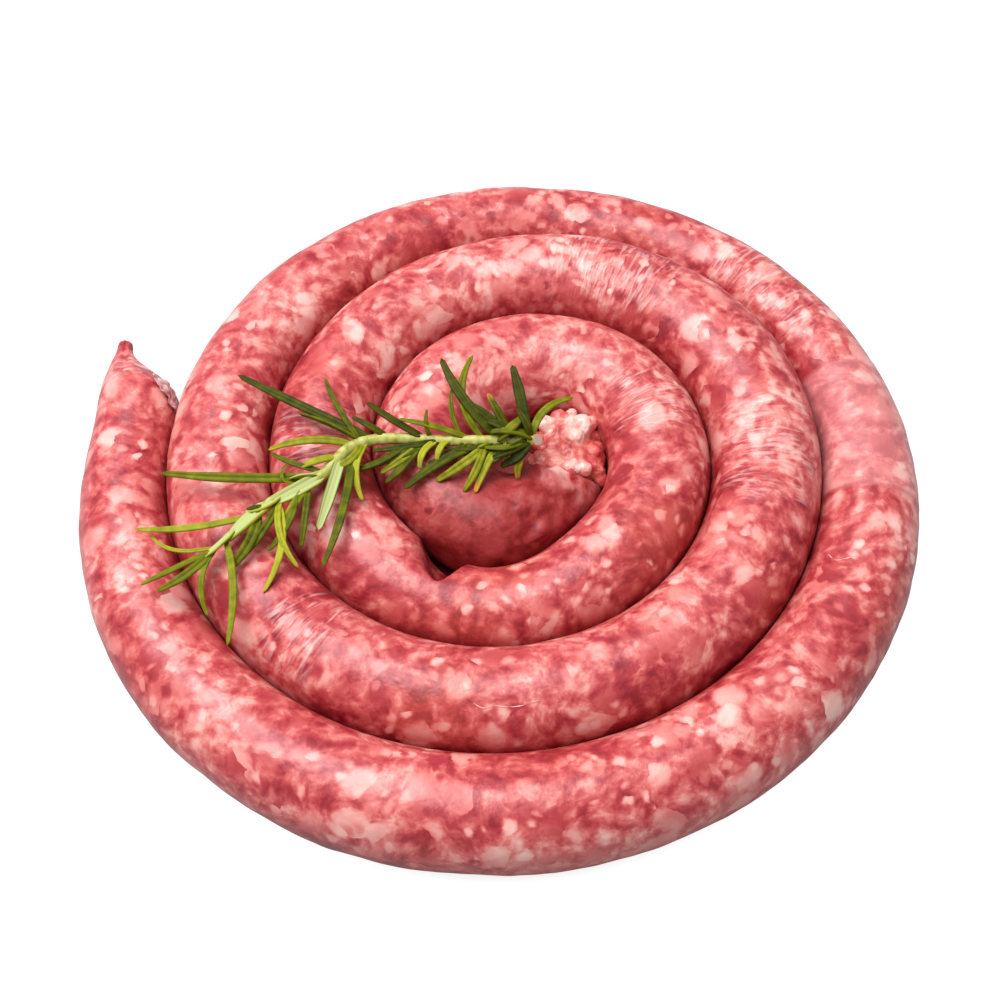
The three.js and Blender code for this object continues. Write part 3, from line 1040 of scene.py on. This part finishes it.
mince_points = np.empty(len(mince_end.data.vertices) * 3)
mince_end.data.vertices.foreach_get("co", mince_points)
mince_points = mince_points.reshape(-1, 3) / MM - WINDING_MIDDLE
mince_normals = np.array([tuple(vertex.normal) for vertex in mince_end.data.vertices])
mince_points = mince_points + mince_normals * relief(mince_points, CRUMBS)[:, None]
lump_middles = np.array([lump[0] for lump in heap])
lump_halves = np.array([lump[1] for lump in heap])
lump_fats = np.array([lump[2] for lump in heap])
apart = np.linalg.norm(mince_points[:, None] - lump_middles[None], axis=2) / lump_halves
near = np.exp(-FAT_SHARPNESS * (apart - apart.min(axis=1, keepdims=True)))
nearest = np.sort(apart, axis=1)
mince_values = {
    "fat": (near * lump_fats).sum(axis=1) / near.sum(axis=1),
    "crease": smooth(nearest[:, 1] - nearest[:, 0], CREASE_WIDE, 0.0),
}
mince_end.data.vertices.foreach_set("co", ((mince_points + WINDING_MIDDLE) * MM).ravel())
for key, value in mince_values.items():
    mince_end.data.attributes.new(key, "FLOAT", "POINT").data.foreach_set("value", value)
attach(mince_end, "root")
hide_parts("filling")
print("fat on average:", round(float(mince_values["fat"].mean()), 2))

# %% [markdown]
# At the cut the same meat shows bare. Fat lumps are nearly white, lean ones coral, and the creases
# between them get painted shade in dark red. It is wetter than the casing, so its coat is stronger.

# %% The mince's finish
TORN_SIZE = 3.2
TORN_DETAIL = 4.0
TORN_ROUGH = 0.6
FAT_PALER = 0.55
TORN_DARKER = 0.32
CREASE_DARKENS = 0.35
CREASE_SHADE_RED = linear(150, 44, 46)
GRAIN_SIZE = 1.0
GRAIN_DETAIL = 2.0
GRAIN_DEPTH = 0.3
BARE_MEAT_STOPS = [
    (0.08, linear(140, 40, 44)),
    (0.26, linear(196, 74, 72)),
    (0.42, linear(228, 112, 104)),
    (0.58, linear(244, 166, 154)),
    (0.80, linear(253, 212, 200)),
]

bare = Finish("bare_mince")
torn = bare.noise(bare.place(), TORN_SIZE, TORN_DETAIL, TORN_ROUGH)
bare_colour = bare.ramp(torn + bare.attribute("fat") * FAT_PALER - TORN_DARKER, BARE_MEAT_STOPS)
# The creases get painted shade: the colour is mixed towards dark red there.
bare.set(
    Base_Color=bare.mix(bare.attribute("crease") * CREASE_DARKENS, bare_colour, CREASE_SHADE_RED),
    Roughness=0.4,
    Normal=bare.bump(bare.noise(bare.place(), GRAIN_SIZE, GRAIN_DETAIL), GRAIN_DEPTH),
    Subsurface_Weight=0.3,
    Subsurface_Radius=(1.0, 0.35, 0.25),
    Subsurface_Scale=1.4 * MM,
    Coat_Weight=0.4,
    Coat_Roughness=0.3,
)
bare.dress(mince_end)
print("bare mince runs through", len(BARE_MEAT_STOPS), "colours")

# %% [markdown]
# ## The fold and the threads on the casing
#
# Beside the pinched end a bit of empty casing lies crumpled against the sausage, and two fine threads
# of the same stuff lie on the turns. Each is a flat tube along a smooth way through a few pixels of
# the photo, laid on the casing. The fold is then crumpled by relief, and the threads are so thin in
# places that they seem to stop and start.

# %% Strips that follow the casing
FOLD_WAY = [(152, 377), (159, 383), (166, 391), (171, 401), (174, 412)]
FOLD_HALF_WIDTHS = [0.6, 2.3, 2.9, 2.2, 0.4]
FOLD_THICK = 0.45
FOLD_RUFFLE = 0.42
FOLD_SIDES = 28
FOLD_ROWS = 60
THREAD_WAYS = [
    [(473, 703), (483, 708), (495, 706), (507, 707), (520, 706), (530, 703), (540, 700)],
    [(828, 554), (835, 560), (844, 559), (852, 557), (860, 555)],
]
THREAD_HALF_WIDTHS = [0.02, 0.13, 0.15, 0.02, 0.01, 0.12, 0.16, 0.02, 0.14, 0.17, 0.01, 0.02, 0.13, 0.02]
THREAD_THICK = 0.1
THREAD_SIDES = 6
THREAD_ROWS = 90
STRIP_RAISED = 0.7
CRUMPLES_UP = [(3.2, 2.2), (1.4, 1.1)]
CRUMPLES_ASIDE = [(2.6, 1.6)]
CRUMPLE_NOISE = 90.0


def unit(vectors):
    return vectors / np.linalg.norm(vectors, axis=1)[:, None]


def around(sides):
    """The angles of points spaced evenly round a section."""
    return np.arange(sides) * 2 * math.pi / sides


def along_way(points, count):
    """Places spaced evenly along a smooth way through the given ones."""
    points = np.array(points, float)
    lengths = lengths_along(points)
    at = np.linspace(0, lengths[-1], count)
    held = np.concatenate([2 * points[:1] - points[1:2], points, 2 * points[-1:] - points[-2:-1]])
    index = np.clip(np.searchsorted(lengths, at, side="right") - 1, 0, len(points) - 2)
    share = ((at - lengths[index]) / (lengths[index + 1] - lengths[index]))[:, None]
    a, b, c, d = (held[index + offset] for offset in range(4))
    curved = a * (-share + 2 * share**2 - share**3) + b * (2 - 5 * share**2 + 3 * share**3)
    return (curved + c * (share + 4 * share**2 - 3 * share**3) + d * (share**3 - share**2)) / 2


def crumpled(rows, side, lift, by):
    """The rows of a strip, crumpled upwards and sideways."""
    upwards = by * (1.0 + relief(rows, CRUMPLES_UP))
    rows = rows + lift[:, None] * upwards[..., None]
    sideways = by * relief(rows + CRUMPLE_NOISE, CRUMPLES_ASIDE)
    return rows + side[:, None] * sideways[..., None]


def strip(name, pixels, half_widths, thick, ruffle, sides, rows):
    """A closed strip that lies on the casing along pixels of the photo."""
    hits = [on_casing(pixel) for pixel in pixels]
    middle = along_way([hit[0] for hit in hits], rows)
    lift = unit(along_way([hit[1] for hit in hits], rows))
    side = unit(np.cross(np.gradient(middle, axis=0), lift))
    shares = np.linspace(0, 1, rows)
    wide = np.interp(shares, np.linspace(0, 1, len(half_widths)), half_widths)[:, None]
    rise = thick * (STRIP_RAISED + np.sin(around(sides)))[None]
    points = tube_rows(middle, side, lift, np.cos(around(sides)) * wide, rise)
    if ruffle:
        points = crumpled(points, side, lift, ruffle)
    return rolled(name, capped(points, points[0].mean(axis=0), points[-1].mean(axis=0)), {})


casing_fold = strip(
    "casing_fold", FOLD_WAY, FOLD_HALF_WIDTHS, FOLD_THICK, FOLD_RUFFLE, FOLD_SIDES, FOLD_ROWS
)
threads = [
    strip("thread", pixels, THREAD_HALF_WIDTHS, THREAD_THICK, 0.0, THREAD_SIDES, THREAD_ROWS)
    for pixels in THREAD_WAYS
]
casing_threads = joined(threads, "casing_threads")
for piece in (casing_fold, casing_threads):
    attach(piece, "root")
    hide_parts("casing")
print("fold:", len(casing_fold.data.polygons), "faces; threads:", len(casing_threads.data.polygons))

# %% [markdown]
# Empty casing has nothing red behind it, so the fold is a greyish pink, mottled paler and darker. The
# threads are one pale colour: they are too thin to show more.

# %% The finishes of the fold and the threads
FOLD_MOTTLE_SIZE = 2.4
FOLD_MOTTLE_DETAIL = 3.0
FOLD_STOPS = [(0.3, linear(140, 82, 88)), (0.5, linear(190, 136, 136)), (0.7, linear(222, 190, 190))]
THREAD_COLOUR = linear(236, 186, 176)

empty = Finish("empty_casing")
fold_mottle = empty.noise(empty.place(), FOLD_MOTTLE_SIZE, FOLD_MOTTLE_DETAIL)
empty.set(Base_Color=empty.ramp(fold_mottle, FOLD_STOPS), Roughness=0.3, Coat_Weight=0.5)
empty.dress(casing_fold)
pale_thread = Finish("casing_thread")
pale_thread.set(Base_Color=THREAD_COLOUR, Roughness=0.5)
pale_thread.dress(casing_threads)
print("finishes:", empty.material.name, "and", pale_thread.material.name)

# %% [markdown]
# ## The sprig's stem
#
# A rosemary stem is a thin rod, a little square, that gets slimmer towards its tip and swells at every
# pair of leaves. It is rolled from a grid like the casing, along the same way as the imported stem, and
# cut off on a slant at its thick end.

# %% The stem
STEM_WAY = [
    (4, -4, 32.6), (-11, -4.4, 32.6), (-26, -3.8, 32.2), (-40, -4, 33), (-49, -7.4, 33.4),
    (-57, -17.6, 33.2), (-67, -23.4, 33.4), (-76, -31.8, 33.6), (-84, -41, 33), (-88, -44.6, 32.4),
]
STEM_HALF = 1.65
STEM_TIP_HALF = 0.55
STEM_TIP_ROUND = 0.5
STEM_SLIMS_FROM = 62.0
STEM_SIDES = 16
STEM_ROWS = 220
STEM_SQUARE = 0.05
STEM_SWELLS = [(7.0, 0.12), (2.4, 0.05)]
NODE_EVERY = 6.4
NODE_FIRST = 1.2
NODE_SWELLS = 0.06
NODE_SWELLS_FROM = 0.6
NODE_PALE_FROM = 0.55
SLANT_TOWARDS = np.array([0.0, -0.5, 0.75])
SLANT_OVER = 4.0
CUT_RING = 0.9


def ways(path):
    """Unit vectors at each place of a path: onwards, to its side, and above it."""
    onwards = unit(np.gradient(path, axis=0))
    side = unit(np.cross(onwards, UP))
    return onwards, side, np.cross(side, onwards)


stem_middle = along_way(STEM_WAY, STEM_ROWS)
stem_onwards, stem_side, stem_up = ways(stem_middle)
stem_along = lengths_along(stem_middle)
stem_half = STEM_HALF + (STEM_TIP_HALF - STEM_HALF) * smooth(stem_along, STEM_SLIMS_FROM, stem_along[-1])
at_node = np.abs(((stem_along + NODE_FIRST) / NODE_EVERY) % 1.0 - 0.5) * 2
stem_half = stem_half * (1 + NODE_SWELLS * smooth(at_node, NODE_SWELLS_FROM, 1.0))
stem_turn = around(STEM_SIDES)
stem_halves = (1 + STEM_SQUARE * np.cos(4 * stem_turn)) * stem_half[:, None]
stem_across = np.cos(stem_turn) * stem_halves
stem_rise = np.sin(stem_turn) * stem_halves
stem_rows = tube_rows(stem_middle, stem_side, stem_up, stem_across, stem_rise)
stem_rows += relief(stem_rows, STEM_SWELLS)[..., None] * stem_up[:, None]
slant = (stem_rows - stem_middle[:, None]) @ SLANT_TOWARDS
slant = slant * smooth(stem_along, SLANT_OVER, 0.0)[:, None]
stem_rows += stem_onwards[:, None] * slant[..., None]

cut_middle = stem_rows[0].mean(axis=0)
cut_ring = cut_middle + (stem_rows[:1] - cut_middle) * CUT_RING
stem_tip = stem_middle[-1] + stem_onwards[-1] * STEM_TIP_ROUND
whole_stem = capped(np.concatenate([cut_ring, stem_rows]), cut_middle, stem_tip) + WINDING_MIDDLE
every_point = np.ones(whole_stem.shape[:2])
on_cut = np.r_[1, 1, np.zeros(STEM_ROWS), 0][:, None] * every_point
node_here = np.r_[0, 0, smooth(at_node, NODE_PALE_FROM, 1.0), 0][:, None] * every_point
rosemary_stem = rolled("rosemary_stem", whole_stem, {"cut": on_cut, "node": node_here})
print("stem:", round(stem_along[-1]), "mm long,", len(rosemary_stem.data.polygons), "faces")

# %% [markdown]
# The bark of a young stem is yellow green in streaks, and a little paler at the nodes. Where the stem
# is cut it shows its pinkish wood.

# %% The stem's finish
CUT_WOOD = linear(222, 190, 170)
NODE_PALE = linear(214, 212, 150)
NODE_PALE_SHARE = 0.2
STREAK_SIZE = 2.0
STREAK_DETAIL = 3.0
BARK_STOPS = [(0.3, linear(132, 130, 46)), (0.5, linear(174, 172, 82)), (0.72, linear(196, 194, 106))]

bark = Finish("rosemary_bark")
bark_colour = bark.ramp(bark.noise(bark.place(), STREAK_SIZE, STREAK_DETAIL), BARK_STOPS)
bark_colour = bark.mix(bark.attribute("node") * NODE_PALE_SHARE, bark_colour, NODE_PALE)
bark.set(Base_Color=bark.mix(bark.attribute("cut"), bark_colour, CUT_WOOD), Roughness=0.5)
bark.dress(rosemary_stem)
print("bark runs through", len(BARK_STOPS), "greens")

# %% [markdown]
# ## The leaves
#
# A rosemary leaf is a needle whose margins are rolled under. Its top is dark and grooved along the
# middle; underneath it is pale and woolly with a ridge. A flat strip with a thickness would show none
# of that, so every leaf is the same true section drawn along its own bend, with its own width, colour
# and roll. Where it leaves the stem, where it passes and where it ends were read off the photo.

# %% A leaf's section
NEEDLE_SIDE = [
    # half of the section, from the middle of its top over the margin to the middle underneath
    (0.0, 0.12), (0.16, 0.22), (0.5, 0.36), (0.84, 0.27), (1.0, 0.0), (0.93, -0.27), (0.68, -0.36),
    (0.5, -0.2), (0.25, -0.1), (0.0, -0.26),
]
UNDERSIDE_FROM = 6

other_side = NEEDLE_SIDE[-2:0:-1]
needle_across = np.array([p[0] for p in NEEDLE_SIDE] + [-p[0] for p in other_side])
needle_rise = np.array([p[1] for p in NEEDLE_SIDE + other_side])
needle_pale = np.array([float(i >= UNDERSIDE_FROM) for i in range(len(NEEDLE_SIDE))])
needle_pale = np.r_[needle_pale, needle_pale[-2:0:-1]]
print("a leaf's section has", len(needle_across), "points")

# %% Where the leaves are
LEAVES = [
    # from where on the stem, a pixel it passes, the pixel of its tip, end height, width,
    # tint from dark to yellow green, roll in degrees, orange of its tip
    (2, (545, 410), (573, 398), 35, 2.3, 0.55, 0, 0.0),
    (3, (521, 400), (512, 365), 41, 3.1, 0.05, 0, 0.0),
    (7, (498, 412), (488, 393), 38, 2.7, 0.3, 0, 0.6),
    (10, (466, 402), (441, 358), 41, 2.9, 0.15, 0, 0.0),
    (15, (462, 396), (473, 355), 41, 2.2, 0.5, 0, 0.0),
    (21, (451, 404), (452, 388), 38, 1.4, 0.4, 0, 0.0),
    (30, (426, 424), (427, 409), 38, 1.3, 0.35, 0, 0.0),
    (31, (400, 424), (367, 402), 36, 2.6, 0.1, 0, 0.0),
    (12, (508, 430), (523, 416), 37.5, 3.0, 0.45, 0, 0.0),
    (18, (437, 427), (398, 419), 36.5, 1.8, 0.5, 0, 0.0),
    (14, (442, 461), (404, 489), 29, 3.6, 0.2, 0, 0.0),
    (13, (457, 468), (436, 481), 29.5, 2.6, 0.62, 0, 0.0),
    (18, (460, 450), (440, 453), 30, 2.4, 0.3, 0, 0.0),
    (7, (487, 450), (462, 454), 30, 2.4, 0.15, 0, 0.0),
    (8, (487, 416), (463, 401), 38, 2.5, 0.1, 0, 0.0),
    (36, (378, 462), (345, 472), 31, 2.6, 0.2, 0, 0.0),
    (70, (289, 514), (281, 530), 31, 2.4, 0.6, 0, 0.0),
    (28, (421, 457), (420, 469), 31, 2.0, 0.9, 0, 0.0),
    (25, (439, 450), (437, 461), 32, 2.1, 0.85, 0, 0.0),
    (32, (405, 457), (380, 473), 31, 2.2, 0.6, 0, 0.0),
    (33, (407, 461), (385, 483), 30, 2.9, 0.25, 0, 0.0),
    (10, (487, 464), (475, 493), 29, 2.3, 0.75, 0, 1.0),
    (15, (474, 474), (463, 492), 29, 2.2, 0.6, 0, 0.0),
    (5, (509, 454), (504, 469), 28.5, 2.0, 0.95, 0, 0.0),
    (3, (519, 461), (518, 479), 27, 2.5, 0.8, 0, 0.8),
    (9, (499, 452), (492, 462), 30, 2.2, 0.5, 150, 0.0),
    (46, (300, 405), (238, 375), 36, 3.0, 0.12, 0, 0.0),
    (50, (337, 405), (325, 378), 38, 1.7, 0.3, 0, 0.0),
    (50, (333, 426), (299, 414), 35, 2.2, 0.35, 120, 0.0),
    (52, (300, 441), (268, 450), 33, 2.3, 0.65, 0, 0.35),
    (64, (296, 464), (271, 453), 33, 1.7, 0.3, 0, 0.0),
    (58, (318, 460), (299, 468), 34, 2.8, 0.75, 0, 0.0),
    (66, (250, 478), (161, 473), 34, 2.7, 0.45, 0, 0.0),
    (70, (282, 477), (288, 464), 36, 1.0, 0.5, 0, 0.0),
    (88, (185, 528), (135, 529), 33, 2.1, 0.7, 0, 0.0),
    (101, (175, 550), (150, 534), 31, 1.1, 0.75, 0, 0.0),
    (103, (175, 568), (140, 585), 31, 2.2, 0.5, 0, 0.0),
    (101, (185, 575), (157, 591), 32, 2.4, 0.45, 0, 0.0),
    (101, (201, 590), (208, 617), 29, 1.6, 0.55, 0, 0.0),
    (98, (233, 592), (227, 646), 30, 2.2, 0.6, 0, 0.0),
    (86, (246, 548), (228, 570), 31, 3.0, 0.4, 0, 0.0),
    (80, (281, 548), (263, 593), 30, 2.2, 0.85, 0, 0.0),
    (78, (284, 545), (299, 568), 31, 1.8, 0.85, 0, 0.0),
    (70, (304, 525), (301, 548), 30.5, 1.9, 0.3, 0, 0.0),
    (74, (284, 530), (268, 551), 31, 2.6, 0.35, 0, 0.0),
    (57, (329, 497), (318, 530), 32.5, 3.3, 0.4, 175, 0.0),
    (53, (342, 512), (322, 568), 31, 2.5, 0.3, 0, 0.0),
    (48, (356, 478), (363, 501), 31, 2.0, 0.85, 0, 0.0),
    (84, (255, 507), (246, 509), 35, 1.2, 0.25, 0, 0.0),
    (12, (470, 449), (443, 447), 32, 1.6, 0.12, 0, 0.0),
    (26, (400, 447), (372, 451), 32, 2.0, 0.1, 0, 0.0),
    (28, (398, 456), (366, 468), 31, 2.6, 0.2, 0, 0.0),
    (1, (520, 432), (490, 432), 36, 3.0, 0.35, 0, 0.0),
    (2, (516, 447), (492, 458), 33, 2.6, 0.1, 0, 0.0),
    (4, (512, 446), (484, 447), 34, 2.2, 0.4, 0, 0.0),
    (4, (512, 452), (506, 462), 30, 2.4, 0.0, 0, 0.0),
    (42, (372, 427), (352, 417), 36, 1.8, 0.15, 0, 0.0),
    (66, (304, 475), (289, 479), 35, 1.8, 0.6, 160, 0.0),
    (64, (298, 489), (266, 505), 33.5, 4.0, 0.9, 178, 0.0),
    (82, (250, 518), (226, 541), 33, 4.4, 0.8, 170, 0.0),
    (78, (262, 508), (244, 512), 34, 2.4, 0.95, 150, 0.0),
    (78, (262, 532), (238, 562), 31.5, 2.2, 0.3, 0, 0.0),
    (94, (214, 549), (196, 563), 32.5, 2.4, 0.8, 170, 0.0),
    (50, (352, 458), (330, 470), 33, 2.4, 0.6, 0, 0.0),
    (3, (522, 452), (500, 466), 30, 3.0, 0.0, 0, 0.0),
    (8, (500, 455), (478, 466), 30, 2.6, 0.05, 0, 0.0),
    (6, (505, 428), (487, 421), 37, 2.4, 0.1, 0, 0.0),
    (2, (528, 427), (517, 408), 38, 2.4, 0.15, 0, 0.0),
    (20, (455, 452), (428, 463), 31, 2.4, 0.1, 0, 0.0),
]

print("leaves:", len(LEAVES))

# %% [markdown]
# A leaf bends once, so its way is the simplest curve there is: from the stem to its tip, pulled
# towards a third place until it passes the pixel read off the photo. Where it would cut into the
# casing it is lifted clear. It is slim at its foot, widest in the middle, and round at its tip.

# %% The bend and the width of a leaf
LEAF_ROWS = 26
LEAF_CLEAR = 0.25
LEAF_FEELS = 0.9
LEAF_BELOW = 0.45
ARCH = 1.6
PASSES_BETWEEN = (0.3, 0.7)
FULLER = 1.04
FOOT_WIDTH = 0.55
FOOT_SHARE = 0.2
TIP_SLIMS_BY = 0.42
TIP_SLIMS_FROM = 0.6
TIP_ROUND_FROM = 0.94
ALMOST_ONE = 0.999


def leaf_way(start, by, tip, end):
    """The bend of a leaf, and how far it is from its foot to the place that it passes."""
    foot = np.array([np.interp(start, stem_along, stem_middle[:, i]) for i in range(3)]) + WINDING_MIDDLE
    tip_place = seen(tip, end)
    passed = seen(by, (foot[2] + end) / 2 + ARCH)
    first = np.linalg.norm(passed - foot)
    share = np.clip(first / (first + np.linalg.norm(tip_place - passed)), *PASSES_BETWEEN)
    pull = passed - (1 - share) ** 2 * foot - share**2 * tip_place
    pull = pull / (2 * share * (1 - share))
    shares = np.linspace(0, 1, LEAF_ROWS)[:, None]
    way = (1 - shares) ** 2 * foot + 2 * shares * (1 - shares) * pull + shares**2 * tip_place
    return way, first


def leaf_halves(width):
    """Half the width of a leaf at each of its rows."""
    shares = np.linspace(0, 1, LEAF_ROWS)
    wide = FULLER * width / 2 * (FOOT_WIDTH + (1 - FOOT_WIDTH) * smooth(shares, 0, FOOT_SHARE))
    wide = wide * (1 - TIP_SLIMS_BY * smooth(shares, TIP_SLIMS_FROM, 1.0))
    into_tip = np.clip((shares - TIP_ROUND_FROM) / (1 - TIP_ROUND_FROM), 0, ALMOST_ONE)
    return wide * np.sqrt(1 - into_tip**2)


def lifted(way, wide):
    """The way of a leaf, lifted where it would cut into the casing under it."""
    lifted_way = way.copy()
    for place, half in zip(lifted_way, wide):
        under = max(ground_at(place[0] + aside, place[1]) for aside in (-LEAF_FEELS, 0, LEAF_FEELS))
        place[2] = max(place[2], under + LEAF_CLEAR + LEAF_BELOW * half)
    return lifted_way


print("a leaf 2.4 mm wide has a foot", round(2 * float(leaf_halves(2.4)[0]), 1), "mm wide")

# %% [markdown]
# The section is drawn along that way, and turned about it by the leaf's own roll. For its finish each
# leaf keeps a place of its own, so that no two are mottled alike, which of its points are pale, its
# tint, and how orange its tip is.

# %% The leaves
ROLL_VARIES = 24.0
ROLL_STEP = 2.4
MOTTLE_DRAWN_OUT = 2.0
MOTTLE_APART = 7.0
RIPE_FROM = 0.78
RIPE_FULL = 0.95
LEAF_MERGED_WITHIN = 0.002


def leaf(index, start, by, tip, end, width, tint, roll, ripe):
    """One leaf, with the values that its finish reads."""
    way, first = leaf_way(start, by, tip, end)
    wide = leaf_halves(width)
    way = lifted(way, wide)
    _, side, above = ways(way)
    about = math.radians(roll + ROLL_VARIES * math.sin(index * ROLL_STEP))
    turned = side * math.cos(about) + above * math.sin(about)
    raised = above * math.cos(about) - side * math.sin(about)
    rows = tube_rows(way, turned, raised, needle_across * wide[:, None], needle_rise * wide[:, None])
    points = capped(rows, way[0], way[-1])
    every_point = np.ones(points.shape[:2])
    shares = np.r_[0, np.linspace(0, 1, LEAF_ROWS), 1][:, None] * every_point
    values = {
        "needle": np.stack(
            [
                shares * first * MOTTLE_DRAWN_OUT,
                needle_across * every_point,
                index * MOTTLE_APART * every_point,
            ],
            axis=2,
        ),
        "pale": needle_pale * every_point,
        "tint": tint * every_point,
        "ripe": ripe * smooth(shares, RIPE_FROM, RIPE_FULL),
    }
    return rolled("leaf", points, values, merged_within=LEAF_MERGED_WITHIN)


leaves = [leaf(index, *row) for index, row in enumerate(LEAVES)]
rosemary_leaves = joined(leaves, "rosemary_leaves")
for piece in (rosemary_stem, rosemary_leaves):
    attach(piece, "root")
    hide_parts("rosemary_sprig")
print("leaves:", len(rosemary_leaves.data.polygons), "faces")

# %% [markdown]
# Old leaves are dark and young ones yellow green, so each leaf's tint picks its colour from one ramp,
# and a mottle along it makes the colour uneven. The pale woolly underside and the orange of a ripe tip
# are laid over that. Real rosemary is only a little shiny, so its specular level is low.

# %% The leaves' finish
TINT_SPREAD = 0.75
MOTTLE_SIZE = 3.0
MOTTLE_DETAIL = 3.0
MOTTLE_SHARE = 0.5
MOTTLE_DARKER = 0.1
WOOLLY = linear(178, 186, 120)
RIPE = linear(200, 140, 50)
LEAF_STOPS = [
    (0.05, linear(34, 36, 0)),
    (0.30, linear(70, 75, 0)),
    (0.55, linear(112, 116, 8)),
    (0.85, linear(168, 166, 42)),
]

green = Finish("rosemary_leaf")
mottle = green.noise(green.vector_attribute("needle"), MOTTLE_SIZE, MOTTLE_DETAIL)
tinted = green.attribute("tint") * TINT_SPREAD + mottle * MOTTLE_SHARE - MOTTLE_DARKER
leaf_colour = green.mix(green.attribute("pale"), green.ramp(tinted, LEAF_STOPS), WOOLLY)
leaf_colour = green.mix(green.attribute("ripe"), leaf_colour, RIPE)
green.set(Base_Color=leaf_colour, Roughness=0.5, Specular_IOR_Level=0.12)
green.dress(rosemary_leaves)
print("finishes:", [m.name for m in bpy.data.materials])

# %% The sizes of the imported solids and of the dressed object
corners = [[list(corner) for corner in box] for box in (solid_box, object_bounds())]
print("visual box", [[round(c / MM, 1) for c in corner] for corner in corners[1]])
